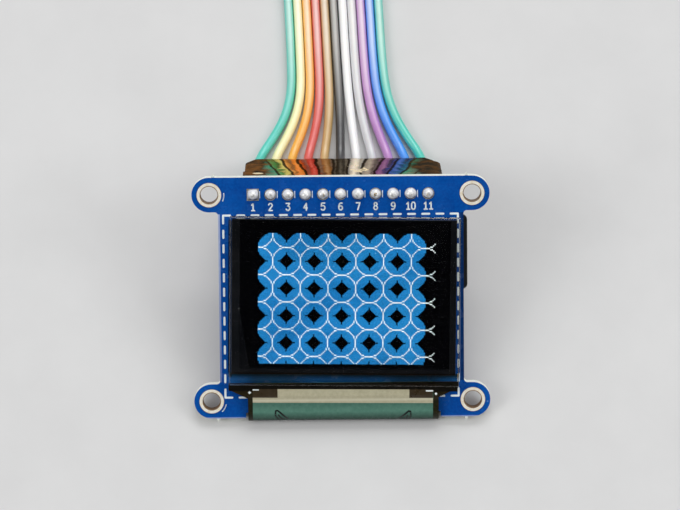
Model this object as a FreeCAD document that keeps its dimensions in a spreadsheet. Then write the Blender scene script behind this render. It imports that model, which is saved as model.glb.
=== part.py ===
import FreeCAD, Part
import math
import os
import re
import Sketcher

# A small colour display board with an eleven-wire jumper ribbon plugged on its back.
# The board leans back on its lower rear edge and on the bend of its wires, display up.
# Board pieces are drawn with X across the board, Y up the board and Z out of its face,
# and are then leaned back together. Wires and loose plugs are drawn where they lie.

Vector = FreeCAD.Vector
Placement = FreeCAD.Placement
Rotation = FreeCAD.Rotation

doc = FreeCAD.newDocument("DisplayModule")

# Driving dimensions: name, value in millimetres or degrees, what it is
SIZES = [
    ("lean", "33", "angle of the board from the floor"),
    ("board_width", "35.56", "board between its straight sides"),
    ("board_height", "35.56", "board from lower to upper edge"),
    ("board_thick", "1.6", "board thickness"),
    ("hole_span_x", "38.1", "mounting holes, centre to centre across"),
    ("hole_span_y", "30.48", "mounting holes, centre to centre up"),
    ("hole_bore", "2.5", "mounting hole, clear diameter"),
    ("ring_width", "3.7", "mounting hole, diameter of its metal ring"),
    ("copper", "0.05", "height of rings and pads above the board"),
    ("ear_radius", "2.54", "radius of the ears round the mounting holes"),
    ("notch_radius", "0.5", "corner between an ear and the board's side"),
    ("tail_notch_width", "28.4", "notch that the flexible tail passes"),
    ("tail_notch_depth", "0.8", "depth of that notch"),
    ("stub_width", "0.8", "break-off stub on the board's edge, at its foot"),
    ("stub_out", "0.5", "how far such a stub stands out"),
    ("stub_root", "0.3", "how far its foot goes into the board"),
    ("pin_count", "11", "pins in the header"),
    ("pin_pitch", "2.54", "header pin pitch"),
    ("pin_side", "0.64", "side of a square pin"),
    ("pin_tail", "0.85", "pin above the board's face"),
    ("pin_length", "6.0", "pin beyond the header's plastic"),
    ("pin_row", "15.24", "header row above the board's middle"),
    ("pin_hole", "1.02", "hole for a header pin"),
    ("pin_point", "0.25", "length of the point of a pin"),
    ("pad_width", "1.75", "pad round a pin"),
    ("solder_width", "1.6", "solder at its foot"),
    ("solder_waist", "1.13", "solder at its waist"),
    ("waist_share", "0.45", "height of that waist, as a share of the cone's"),
    ("solder_top", "0.86", "solder at its top"),
    ("solder_height", "0.7", "height of the solder cone"),
    ("strip_height", "2.54", "header plastic, off the board"),
    ("strip_depth", "2.5", "header plastic, up the board"),
    ("strip_corner", "0.4", "cut corner of each header cell"),
    ("socket_side", "2.48", "plug housing, side of its square section"),
    ("socket_length", "14.0", "plug housing, length"),
    ("socket_cavity", "1.7", "side of the terminal's cavity"),
    ("socket_cavity_depth", "9.5", "depth of that cavity"),
    ("wire_bore", "1.5", "hole for the wire in a plug housing"),
    ("window_length", "2.6", "latch window of a plug housing"),
    ("window_width", "1.1", "width of that window"),
    ("window_from", "4.6", "window from the housing's mouth"),
    ("crimp_outside", "1.5", "terminal sleeve, outside"),
    ("crimp_inside", "0.8", "terminal sleeve, inside"),
    ("crimp_from", "0.6", "terminal sleeve from the housing's mouth"),
    ("crimp_length", "7.5", "length of the terminal sleeve"),
    ("crimp_barrel", "1.2", "diameter of the crimped barrel"),
    ("wire_inset", "2.14", "wire inside its housing"),
    ("tape_thick", "0.12", "tape wrapped round the housings"),
    ("tape_slack", "0.05", "space between tape and housings"),
    ("tape_from", "2.2", "tape from the housings' mouths"),
    ("tape_overhang", "2.2", "tape past the housings' rear ends"),
    ("tape_fin", "0.42", "pinched fin at each side of the tape"),
    ("tape_radius", "0.3", "corner of the tape sleeve"),
    ("wire_width", "1.32", "diameter of a ribbon wire"),
    ("glass_x", "0.47", "middle of the display, across"),
    ("glass_y", "-0.3", "middle of the display, up"),
    ("glass_turn", "-0.95", "turn of the display on the board"),
    ("glass_width", "33.4", "front glass across"),
    ("glass_height", "24.85", "front glass up"),
    ("glass_thick", "0.8", "front glass thickness"),
    ("glass_bevel", "0.12", "ground edge of the front glass"),
    ("foam_thick", "0.5", "adhesive foam under the display"),
    ("foam_margin", "1.2", "foam inside the rear glass"),
    ("lid_thick", "0.8", "rear glass thickness"),
    ("lid_margin", "0.4", "rear glass inside the front glass"),
    ("lid_x", "-0.1", "rear glass off the display's middle, across"),
    ("lid_ledge", "1.6", "bare ledge of the front glass below"),
    ("lid_pocket", "0.25", "depth of the hollow in the rear glass"),
    ("lid_pocket_margin", "0.6", "hollow round the lit area"),
    ("film_thick", "0.2", "polarising film thickness"),
    ("film_width", "30.5", "polarising film across"),
    ("film_height", "21.8", "polarising film up"),
    ("film_x", "0.01", "film off the display's middle, across"),
    ("film_y", "0.95", "film off the display's middle, up"),
    ("film_corner", "0.5", "corner radius of the film"),
    ("dot_pitch", "0.2008", "one picture element"),
    ("dot_count_across", "128", "picture elements across"),
    ("dot_count_up", "96", "picture elements up"),
    ("cell_dots", "20", "grid of the shown circles, in elements"),
    ("lit_x", "0.27", "lit area off the display's middle, across"),
    ("lit_y", "0.35", "lit area off the display's middle, up"),
    ("lit_thick", "0.03", "thickness of each lit layer"),
    ("tail_thick", "0.12", "flexible tail thickness"),
    ("tail_x", "0.15", "flexible tail's middle, across"),
    ("tail_width", "27.8", "flexible tail across"),
    ("tail_shoulder", "33.4", "flexible tail at the glass"),
    ("tail_shoulder_depth", "1.0", "stretch of the tail at that full width"),
    ("tail_taper", "1.35", "height of the taper below its shoulders"),
    ("tail_overlap", "0.45", "tail glued under the glass ledge"),
    ("tail_flat", "2.0", "flat stretch below the glass"),
    ("tail_bend", "1.5", "outer radius of the bend round the edge"),
    ("tail_hide", "0.13", "bend inside the board's lower edge"),
    ("tail_return", "2.9", "sloping stretch behind the board"),
    ("tail_land", "3.6", "stretch soldered on the board's back"),
    ("driver_length", "16.0", "driver chip on the tail, across"),
    ("driver_width", "1.1", "driver chip, up"),
    ("driver_thick", "0.35", "driver chip thickness"),
    ("driver_inset", "0.2", "driver chip from the tail's bend"),
    ("joint_count", "30", "soldered joints of the tail"),
    ("joint_pitch", "0.7", "pitch of those joints"),
    ("joint_width", "0.4", "width of a joint"),
    ("joint_length", "1.4", "length of a joint"),
    ("joint_height", "0.2", "height of a joint"),
    ("card_x", "10.88", "memory card's middle, across"),
    ("card_y", "6.2", "memory card's middle, up"),
    ("card_length", "15.0", "memory card, in the way it goes in"),
    ("card_width", "11.0", "memory card width"),
    ("card_thick", "0.7", "memory card thickness"),
    ("card_lip", "1.0", "memory card thickness at its outer lip"),
    ("card_corner", "0.8", "corner radius of the card"),
    ("card_slack", "0.05", "space between the card and its rails"),
    ("card_lip_length", "1.0", "length of that lip"),
    ("card_notch_length", "1.3", "length of the notch in the card's side"),
    ("card_notch_depth", "0.5", "depth of that notch"),
    ("shell_x", "9.7", "card holder's middle, across"),
    ("shell_length", "14.6", "card holder, in the way the card goes in"),
    ("shell_width", "14.0", "card holder up the board"),
    ("shell_height", "1.9", "card holder off the board"),
    ("shell_sheet", "0.2", "metal of the card holder"),
    ("fold_radius", "0.3", "outer radius of its folds"),
    ("latch_length", "3.4", "cut beside a latch spring of the holder"),
    ("latch_cut", "0.45", "width of that cut"),
    ("latch_width", "1.4", "latch spring between the middles of its two cuts"),
    ("bed_thick", "0.55", "plastic bed of the card holder"),
    ("contact_count", "8", "contacts of the card holder"),
    ("contact_pitch", "1.1", "pitch of those contacts"),
    ("contact_width", "0.5", "width of a contact"),
    ("contact_length", "4.2", "length of a contact"),
    ("contact_height", "0.12", "height of a contact above the bed"),
    ("shifter_length", "9.9", "sixteen-lead chip, along its leads"),
    ("shifter_width", "3.9", "sixteen-lead chip, across its leads"),
    ("shifter_height", "1.5", "height of that chip"),
    ("shifter_pitch", "1.27", "lead pitch of that chip"),
    ("shifter_lead_count", "8", "leads on each side of that chip"),
    ("small_length", "2.9", "six-lead chip, along its leads"),
    ("small_width", "1.6", "six-lead chip, across its leads"),
    ("small_height", "1.15", "height of that chip"),
    ("small_pitch", "0.95", "lead pitch of that chip"),
    ("small_lead_count", "3", "leads on each side of that chip"),
    ("lead_thick", "0.16", "sheet that the leads are cut from"),
    ("lead_width", "0.4", "width of a chip's lead"),
    ("coil_side", "4.0", "side of the inductor"),
    ("coil_height", "1.8", "height of the inductor"),
    ("coil_corner", "0.67", "cut corner of the inductor"),
    ("coil_core", "2.9", "diameter of its round core"),
    ("diode_length", "2.7", "diode body"),
    ("diode_width", "1.6", "diode body across"),
    ("diode_height", "1.1", "diode body height"),
    ("tab_length", "0.9", "diode terminal, along the body"),
    ("tab_width", "0.75", "diode terminal, across"),
    ("tab_out", "0.55", "how far a terminal stands out of the body"),
    ("chip_cap_length", "1.1", "capacitor between its metal ends"),
    ("chip_cap_width", "1.25", "capacitor across"),
    ("chip_cap_height", "0.9", "capacitor height"),
    ("chip_res_length", "0.9", "resistor between its metal ends"),
    ("chip_res_width", "0.8", "resistor across"),
    ("chip_res_height", "0.45", "resistor height"),
    ("chip_end", "0.42", "metal end of a capacitor or resistor"),
]
ALIASES = [alias for alias, value, note in SIZES]

sheet = doc.addObject("Spreadsheet::Sheet", "Sizes")
for row, (alias, value, note) in enumerate(SIZES, start=1):
    sheet.set(f"A{row}", note)
    sheet.set(f"B{row}", value)
    sheet.setAlias(f"B{row}", alias)
doc.recompute()
size = {alias: float(sheet.get(alias)) for alias in ALIASES}

# Places of the small parts on the board's back: across the board, up the board
SHIFTER_PLACE = (-9.6, 8.2)
REGULATOR_PLACE = (-13.2, 1.2)
BOOST_PLACE = (-3.2, -4.6)
COIL_PLACE = (3.2, -5.2)
DIODE_PLACE = (8.4, -5.6)
CAPACITOR_PLACES = [(-9.4, 2.3), (-9.4, 0.2), (-16.0, 4.4), (-6.6, -6.6), (12.6, -4.4), (12.6, -6.8)]
RESISTOR_PLACES = [(-5.6, 2.4), (-3.4, 2.4), (-1.2, 2.4), (-6.6, -4.4), (-0.4, -6.9)]
STUB_PLACES = [(18.25, 1), (-18.45, 1), (-18.1, -1), (18.1, -1)]
LATCH_PLACES = [(2.6, 3.2), (2.6, -3.2), (-4.4, 0)]

# The ribbon's route, row by row from the plugged end to the free end, in millimetres:
# how far back, how high, the ribbon's middle and the spacing of its wires there
RIBBON_ROWS = [
    (16.65, 5.91, 0.00, 2.540),
    (18.77, 2.64, 0.00, 2.540),
    (22.40, 0.67, 0.03, 2.400),
    (25.80, 0.67, 0.05, 1.965),
    (29.40, 0.67, 0.02, 1.610),
    (33.50, 0.67, -0.14, 1.410),
    (39.50, 0.67, -0.46, 1.368),
    (47.50, 0.67, -0.80, 1.366),
    (61.00, 0.67, -1.55, 1.366),
    (77.00, 0.67, -2.80, 1.366),
    (90.00, 0.67, -4.00, 1.440),
    (99.00, 0.70, -4.60, 1.950),
    (105.50, 0.95, -4.75, 2.650),
    (110.00, 1.25, -4.70, 3.060),
    (113.90, 1.25, -4.62, 3.200),
]
WIRE_NAMES = [
    "wire_01_teal",
    "wire_02_cream",
    "wire_03_orange",
    "wire_04_red",
    "wire_05_tan",
    "wire_06_black",
    "wire_07_white",
    "wire_08_grey",
    "wire_09_violet",
    "wire_10_blue",
    "wire_11_teal",
]
# Free plugs: how much each lies further back, and its turn in degrees
PLUG_SHIFTS = [0.0, 0.9, -0.5, 0.5, -0.9, 0.2, 0.8, -0.3, 0.6, -0.6, 0.3]
# Slope of the point of a pin, in degrees, and how much of a run each bend of a wire takes
POINT_SLOPE = -30
BEND_SHARE = 0.45

# Where the leaned board stands: its lower rear edge is on the floor, and the object's
# box, measured without the free wires, is centred on the origin
lean = math.radians(size["lean"])
strip_end = size["board_thick"] + size["strip_height"]
socket_end = strip_end + size["socket_length"]
tape_end = socket_end + size["tape_overhang"]
tape_top = size["pin_row"] + size["socket_side"] / 2 + size["tape_slack"] + size["tape_thick"]
board_front = (size["board_height"] / 2 + size["stub_out"]) * math.cos(lean)
tape_rear = tape_top * math.cos(lean) + tape_end * math.sin(lean)
middle_back = (board_front - tape_rear) / 2
middle_up = size["board_height"] / 2 * math.sin(lean) + size["board_thick"] * math.cos(lean)
LEANED = Placement(Vector(0, middle_back, middle_up), Rotation(Vector(1, 0, 0), size["lean"]))
DISPLAY_SEAT = Placement(
    Vector(size["glass_x"], size["glass_y"], 0),
    Rotation(Vector(0, 0, 1), size["glass_turn"]),
)
BACK_SEAT = Placement(Vector(0, 0, -size["board_thick"]), Rotation(Vector(0, 1, 0), 180))

subparts = []


def formula(text):
    """Point each size named in a formula at its cell."""
    return re.sub(
        r"[a-z][a-z0-9_]*",
        lambda word: "Sizes." + word.group() if word.group() in ALIASES else word.group(),
        text,
    )


def bind(thing, **formulas):
    for name, text in formulas.items():
        thing.setExpression(name, formula(text))


def new_body(label, seat=None):
    """Start a named sub-part; seat is its place on the board before the board leans."""
    body = doc.addObject("PartDesign::Body", label)
    body.Label = label
    body.Placement = LEANED * seat if seat else LEANED
    subparts.append(body)
    return body


def new_sketch(body, name, plane="XY_Plane", lift=None):
    sketch = body.newObject("Sketcher::SketchObject", name)
    face = next(item for item in body.Origin.OriginFeatures if item.Role == plane)
    sketch.AttachmentSupport = [(face, "")]
    sketch.MapMode = "FlatFace"
    if lift:
        sketch.setExpression(".AttachmentOffset.Base.z", formula(lift))
    return sketch


def set_distance(sketch, kind, points, start, text):
    """Add a distance between two points of a sketch and bind it to a formula."""
    index = sketch.addConstraint(Sketcher.Constraint(kind, *points, start))
    name = f"size_{index}"
    sketch.renameConstraint(index, name)
    sketch.setExpression(f"Constraints.{name}", formula(text))


def add_rectangle(sketch, width, height, across="0", up="0"):
    """Draw a rectangle round a middle point, its four sizes bound to formulas."""
    first = sketch.GeometryCount
    corners = [Vector(-1, -1, 0), Vector(1, -1, 0), Vector(1, 1, 0), Vector(-1, 1, 0)]
    for index in range(4):
        sketch.addGeometry(Part.LineSegment(corners[index], corners[(index + 1) % 4]), False)
    for index in range(4):
        link = (first + index, 2, first + (index + 1) % 4, 1)
        sketch.addConstraint(Sketcher.Constraint("Coincident", *link))
    for side, way in enumerate(("Horizontal", "Vertical", "Horizontal", "Vertical")):
        sketch.addConstraint(Sketcher.Constraint(way, first + side))
    set_distance(sketch, "DistanceX", (first, 1, first, 2), 2.0, width)
    set_distance(sketch, "DistanceY", (first + 1, 1, first + 1, 2), 2.0, height)
    set_distance(sketch, "DistanceX", (-1, 1, first, 1), -1.0, f"({across}) - ({width}) / 2")
    set_distance(sketch, "DistanceY", (-1, 1, first, 1), -1.0, f"({up}) - ({height}) / 2")


def add_circle(sketch, diameter, across="0", up="0"):
    """Draw a circle, its size and middle bound to formulas."""
    geometry = sketch.addGeometry(Part.Circle(Vector(0.5, 0.5, 0), Vector(0, 0, 1), 1.0), False)
    index = sketch.addConstraint(Sketcher.Constraint("Diameter", geometry, 2.0))
    name = f"size_{index}"
    sketch.renameConstraint(index, name)
    sketch.setExpression(f"Constraints.{name}", formula(diameter))
    set_distance(sketch, "DistanceX", (-1, 1, geometry, 3), 0.5, across)
    set_distance(sketch, "DistanceY", (-1, 1, geometry, 3), 0.5, up)


def add_outline(sketch, points):
    """Draw a closed outline of straight sides, each corner bound to two formulas."""
    first = sketch.GeometryCount
    count = len(points)
    ring = [
        Vector(math.cos(2 * math.pi * index / count), math.sin(2 * math.pi * index / count), 0)
        for index in range(count)
    ]
    for index in range(count):
        sketch.addGeometry(Part.LineSegment(ring[index], ring[(index + 1) % count]), False)
    for index in range(count):
        link = (first + index, 2, first + (index + 1) % count, 1)
        sketch.addConstraint(Sketcher.Constraint("Coincident", *link))
    for index, (across, up) in enumerate(points):
        set_distance(sketch, "DistanceX", (-1, 1, first + index, 1), ring[index].x, across)
        set_distance(sketch, "DistanceY", (-1, 1, first + index, 1), ring[index].y, up)


def pad(body, name, sketch, length, down=False, taper=None):
    feature = body.newObject("PartDesign::Pad", name)
    feature.Profile = sketch
    feature.Reversed = down
    bind(feature, Length=length)
    if taper:
        feature.TaperAngle = taper
    body.Tip = feature
    return feature


def pocket(body, name, sketch, length=None, up=False):
    """Cut a sketch out downwards, or upwards, to a depth or right through."""
    feature = body.newObject("PartDesign::Pocket", name)
    feature.Profile = sketch
    feature.Reversed = up
    if length:
        bind(feature, Length=length)
    else:
        feature.Type = "ThroughAll"
    body.Tip = feature
    return feature


def pattern(body, name, features, axis_sketch, length, count, axis="H_Axis", back=False):
    feature = body.newObject("PartDesign::LinearPattern", name)
    feature.Originals = features
    feature.Direction = (axis_sketch, [axis])
    feature.Reversed = back
    bind(feature, Length=length, Occurrences=count)
    body.Tip = feature
    return feature


def upright_edges(feature, places):
    """Name the upright edges of a feature that stand at the given places."""
    names = []
    for index, edge in enumerate(feature.Shape.Edges, start=1):
        ends = [vertex.Point for vertex in edge.Vertexes]
        if len(ends) != 2 or abs(ends[0].z - ends[1].z) < 1e-6:
            continue
        for across, up in places:
            if all(math.hypot(end.x - across, end.y - up) < 1e-4 for end in ends):
                names.append(f"Edge{index}")
    return names


def level_edges(feature, height):
    """Name the edges of a feature that lie wholly at one height."""
    names = []
    for index, edge in enumerate(feature.Shape.Edges, start=1):
        box = edge.BoundBox
        if abs(box.ZMin - height) < 1e-4 and abs(box.ZMax - height) < 1e-4:
            names.append(f"Edge{index}")
    return names


def round_edges(body, name, feature, edges, radius):
    fillet = body.newObject("PartDesign::Fillet", name)
    fillet.Base = (feature, edges)
    bind(fillet, Radius=radius)
    body.Tip = fillet
    return fillet


def bevel_edges(body, name, feature, edges, width):
    chamfer = body.newObject("PartDesign::Chamfer", name)
    chamfer.Base = (feature, edges)
    bind(chamfer, Size=width)
    body.Tip = chamfer
    return chamfer


def corners_of(width, height, across=0.0, up=0.0):
    """The four corners of a rectangle, as numbers."""
    return [(across + sx * width / 2, up + sy * height / 2) for sx in (-1, 1) for sy in (-1, 1)]


FIRST_PIN = "-(pin_count - 1) * pin_pitch / 2"
ROW_LENGTH = "(pin_count - 1) * pin_pitch"
HOLES = [(f"{sx} * hole_span_x / 2", f"{sy} * hole_span_y / 2") for sx in ("-1", "1") for sy in ("-1", "1")]


def circuit_board():
    """The board: a square panel with four round ears, drilled, notched and broken out."""
    body = new_body("circuit_board")
    outline = new_sketch(body, "PanelOutline")
    add_rectangle(outline, "board_width", "board_height")
    pad(body, "Panel", outline, "board_thick", down=True)
    bars = new_sketch(body, "EarBarOutline")
    for side in ("-1", "1"):
        add_rectangle(bars, "hole_span_x", "2 * ear_radius", up=f"{side} * hole_span_y / 2")
    pad(body, "EarBars", bars, "board_thick", down=True)
    discs = new_sketch(body, "EarOutline")
    for across, up in HOLES:
        add_circle(discs, "2 * ear_radius", across, up)
    ears = pad(body, "Ears", discs, "board_thick", down=True)
    doc.recompute()
    inner = corners_of(size["board_width"], size["hole_span_y"] - 2 * size["ear_radius"])
    round_edges(body, "EarNotches", ears, upright_edges(ears, inner), "notch_radius")
    holes = new_sketch(body, "MountingHoles")
    for across, up in HOLES:
        add_circle(holes, "hole_bore", across, up)
    pocket(body, "Holes", holes)
    pin = new_sketch(body, "PinHole")
    add_circle(pin, "pin_hole", FIRST_PIN, "pin_row")
    drilled = pocket(body, "PinHoleCut", pin)
    pattern(body, "PinHoles", [drilled], pin, ROW_LENGTH, "pin_count")
    notch = new_sketch(body, "TailNotch")
    add_rectangle(notch, "tail_notch_width", "2 * tail_notch_depth", "tail_x", "-board_height / 2")
    pocket(body, "Notch", notch)
    stubs = new_sketch(body, "Stubs")
    for across, side in STUB_PLACES:
        edge = "hole_span_y / 2 + ear_radius"
        foot = f"{side} * ({edge} - stub_root)"
        tip = f"{side} * ({edge} + stub_out)"
        feet = [(f"{across} {way} stub_width / 2", foot) for way in ("-", "+")]
        add_outline(stubs, feet + [(str(across), tip)])
    pad(body, "BreakOffStubs", stubs, "board_thick / 2", down=True)


def hole_rings():
    """Metal rings round the four mounting holes, on both faces of the board."""
    body = new_body("hole_rings")
    upper = new_sketch(body, "UpperRings")
    lower = new_sketch(body, "LowerRings", lift="-board_thick")
    for across, up in HOLES:
        for sketch in (upper, lower):
            add_circle(sketch, "hole_bore", across, up)
            add_circle(sketch, "ring_width", across, up)
    pad(body, "UpperRingPads", upper, "copper")
    pad(body, "LowerRingPads", lower, "copper", down=True)


def pin_pads():
    """Copper pads round the header pins: the first is square."""
    body = new_body("pin_pads")
    square = new_sketch(body, "FirstPad")
    add_rectangle(square, "pad_width", "pad_width", FIRST_PIN, "pin_row")
    add_circle(square, "pin_hole", FIRST_PIN, "pin_row")
    pad(body, "SquarePad", square, "copper")
    ring = new_sketch(body, "RoundPadOutline")
    second = f"{FIRST_PIN} + pin_pitch"
    add_circle(ring, "pad_width", second, "pin_row")
    add_circle(ring, "pin_hole", second, "pin_row")
    rest = pad(body, "RoundPad", ring, "copper")
    pattern(body, "RoundPads", [rest], ring, "(pin_count - 2) * pin_pitch", "pin_count - 1")


def solder_joints():
    """A cone of solder round each pin, hollow where the pin stands in it."""
    body = new_body("solder_joints")
    foot = new_sketch(body, "Foot", lift="copper")
    add_circle(foot, "solder_width", FIRST_PIN, "pin_row")
    top = new_sketch(body, "Top", lift="copper + solder_height")
    add_circle(top, "solder_top", FIRST_PIN, "pin_row")
    waist = new_sketch(body, "Waist", lift="copper + solder_height * waist_share")
    add_circle(waist, "solder_waist", FIRST_PIN, "pin_row")
    cone = body.newObject("PartDesign::AdditiveLoft", "Cone")
    cone.Profile = foot
    cone.Sections = [waist, top]
    body.Tip = cone
    hollow = new_sketch(body, "PinSection", lift="copper + solder_height")
    add_rectangle(hollow, "pin_side", "pin_side", FIRST_PIN, "pin_row")
    cut = pocket(body, "PinCut", hollow)
    pattern(body, "Joints", [cone, cut], foot, ROW_LENGTH, "pin_count")


def header_strip():
    """The header's plastic: a row of cells with cut corners, a square hole in each."""
    body = new_body("header_strip")
    cell = new_sketch(body, "Cell", lift="-board_thick")
    half = "pin_pitch / 2"
    deep = "strip_depth / 2"
    corner = []
    for sx, sy in (("-1", "-1"), ("1", "-1"), ("1", "1"), ("-1", "1")):
        near_end = (f"{FIRST_PIN} + {sx} * {half}", f"pin_row + {sy} * ({deep} - strip_corner)")
        near_side = (f"{FIRST_PIN} + {sx} * ({half} - strip_corner)", f"pin_row + {sy} * {deep}")
        corner += [near_end, near_side] if sx == sy else [near_side, near_end]
    add_outline(cell, corner)
    block = pad(body, "CellBlock", cell, "strip_height", down=True)
    hole = new_sketch(body, "PinHole", lift="-board_thick")
    add_rectangle(hole, "pin_side", "pin_side", FIRST_PIN, "pin_row")
    cut = pocket(body, "PinCut", hole, "strip_height")
    pattern(body, "Cells", [block, cut], cell, ROW_LENGTH, "pin_count")


def header_pins():
    """Square pins with a short point at each end, through the board and its plastic."""
    body = new_body("header_pins")
    section = new_sketch(body, "Section", lift="pin_tail - pin_point")
    add_rectangle(section, "pin_side", "pin_side", FIRST_PIN, "pin_row")
    shaft_length = "pin_tail + board_thick + strip_height + pin_length - 2 * pin_point"
    shaft = pad(body, "Shaft", section, shaft_length, down=True)
    upper = pad(body, "UpperPoint", section, "pin_point", taper=POINT_SLOPE)
    base = "-(board_thick + strip_height + pin_length - pin_point)"
    lower_section = new_sketch(body, "LowerSection", lift=base)
    add_rectangle(lower_section, "pin_side", "pin_side", FIRST_PIN, "pin_row")
    lower = pad(body, "LowerPoint", lower_section, "pin_point", down=True, taper=POINT_SLOPE)
    pattern(body, "Pins", [shaft, upper, lower], section, ROW_LENGTH, "pin_count")


def jumper_sockets():
    """Eleven single plug housings side by side, each with a cavity, a bore and a window."""
    body = new_body("jumper_sockets")
    mouth = "-(board_thick + strip_height)"
    section = new_sketch(body, "Section", lift=mouth)
    add_rectangle(section, "socket_side", "socket_side", FIRST_PIN, "pin_row")
    block = pad(body, "Block", section, "socket_length", down=True)
    cavity = new_sketch(body, "Cavity", lift=mouth)
    add_rectangle(cavity, "socket_cavity", "socket_cavity", FIRST_PIN, "pin_row")
    hollow = pocket(body, "CavityCut", cavity, "socket_cavity_depth")
    bore = new_sketch(body, "Bore", lift=mouth)
    add_circle(bore, "wire_bore", FIRST_PIN, "pin_row")
    drilled = pocket(body, "BoreCut", bore, "socket_length")
    window = new_sketch(body, "Window", plane="XZ_Plane", lift="-(pin_row - socket_side / 2)")
    middle = "-(board_thick + strip_height + window_from + window_length / 2)"
    add_rectangle(window, "window_width", "window_length", FIRST_PIN, middle)
    opened = pocket(body, "WindowCut", window, "(socket_side - socket_cavity) / 2 + copper")
    pattern(body, "Sockets", [block, hollow, drilled, opened], section, ROW_LENGTH, "pin_count")


def jumper_crimps():
    """Metal terminals in the housings: a square sleeve on the pin and a barrel on the wire."""
    body = new_body("jumper_crimps")
    mouth = "board_thick + strip_height + crimp_from"
    outside = new_sketch(body, "Sleeve", lift=f"-({mouth})")
    add_rectangle(outside, "crimp_outside", "crimp_outside", FIRST_PIN, "pin_row")
    sleeve = pad(body, "SleeveBlock", outside, "crimp_length", down=True)
    inside = new_sketch(body, "Opening", lift=f"-({mouth})")
    add_rectangle(inside, "crimp_inside", "crimp_inside", FIRST_PIN, "pin_row")
    opened = pocket(body, "OpeningCut", inside, "crimp_length - lead_thick")
    neck = new_sketch(body, "Neck", lift=f"-({mouth} + crimp_length)")
    add_circle(neck, "crimp_barrel", FIRST_PIN, "pin_row")
    reach = "socket_length - crimp_from - crimp_length - wire_inset"
    barrel = pad(body, "Barrel", neck, reach, down=True)
    pattern(body, "Crimps", [sleeve, opened, barrel], outside, ROW_LENGTH, "pin_count")


def wrap_tape():
    """Glossy tape wound round the row of housings, pinched into a fin at each side."""
    body = new_body("wrap_tape")
    start = "-(board_thick + strip_height + tape_from)"
    length = "socket_length - tape_from + tape_overhang"
    block_width = f"({ROW_LENGTH} + socket_side + 2 * tape_slack)"
    block_depth = "(socket_side + 2 * tape_slack)"
    outer = new_sketch(body, "Outer", lift=start)
    add_rectangle(outer, f"{block_width} + 2 * tape_thick", f"{block_depth} + 2 * tape_thick", up="pin_row")
    sleeve = pad(body, "Sleeve", outer, length, down=True)
    doc.recompute()
    width = (size["pin_count"] - 1) * size["pin_pitch"] + size["socket_side"]
    around = 2 * (size["tape_slack"] + size["tape_thick"])
    places = corners_of(width + around, size["socket_side"] + around, up=size["pin_row"])
    round_edges(body, "SleeveCorners", sleeve, upright_edges(sleeve, places), "tape_radius")
    fins = new_sketch(body, "Fins", lift=start)
    for side in ("-1", "1"):
        across = f"{side} * ({block_width} / 2 + tape_thick + tape_fin / 2 - tape_thick / 2)"
        add_rectangle(fins, "tape_fin + tape_thick", "2 * tape_thick", across, "pin_row")
    pad(body, "FinStrips", fins, length, down=True)
    inner = new_sketch(body, "Inner", lift=start)
    add_rectangle(inner, block_width, block_depth, up="pin_row")
    pocket(body, "Inside", inner, length)


LID_BASE = "foam_thick"
GLASS_BASE = "foam_thick + lid_thick"
FILM_BASE = "foam_thick + lid_thick + glass_thick"
LID_HEIGHT = "(glass_height - lid_margin - lid_ledge)"
LID_UP = "(lid_ledge - lid_margin) / 2"


def foam_tape():
    """The double-sided foam that holds the display on the board."""
    body = new_body("foam_tape", DISPLAY_SEAT)
    outline = new_sketch(body, "Outline")
    width = "glass_width - 2 * lid_margin - 2 * foam_margin"
    add_rectangle(outline, width, f"{LID_HEIGHT} - 2 * foam_margin", "lid_x", LID_UP)
    pad(body, "Foam", outline, "foam_thick")


def lid_glass():
    """The rear glass: a cap hollowed behind the lit area."""
    body = new_body("lid_glass", DISPLAY_SEAT)
    outline = new_sketch(body, "Outline", lift=LID_BASE)
    add_rectangle(outline, "glass_width - 2 * lid_margin", LID_HEIGHT, "lid_x", LID_UP)
    pad(body, "Cap", outline, "lid_thick")
    hollow = new_sketch(body, "Hollow", lift=GLASS_BASE)
    width = "dot_count_across * dot_pitch + 2 * lid_pocket_margin"
    height = "dot_count_up * dot_pitch + 2 * lid_pocket_margin"
    add_rectangle(hollow, width, height, "lit_x", "lit_y")
    pocket(body, "HollowCut", hollow, "lid_pocket")


def display_glass():
    """The front glass, with a ground edge and a bare ledge below the rear glass."""
    body = new_body("display_glass", DISPLAY_SEAT)
    outline = new_sketch(body, "Outline", lift=GLASS_BASE)
    add_rectangle(outline, "glass_width", "glass_height")
    plate = pad(body, "Plate", outline, "glass_thick")
    doc.recompute()
    top = size["foam_thick"] + size["lid_thick"] + size["glass_thick"]
    bevel_edges(body, "GroundEdge", plate, level_edges(plate, top), "glass_bevel")


def polariser():
    """The dark polarising film on the front glass."""
    body = new_body("polariser", DISPLAY_SEAT)
    outline = new_sketch(body, "Outline", lift=FILM_BASE)
    add_rectangle(outline, "film_width", "film_height", "film_x", "film_y")
    film = pad(body, "Film", outline, "film_thick")
    doc.recompute()
    places = corners_of(size["film_width"], size["film_height"], size["film_x"], size["film_y"])
    round_edges(body, "FilmCorners", film, upright_edges(film, places), "film_corner")


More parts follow.
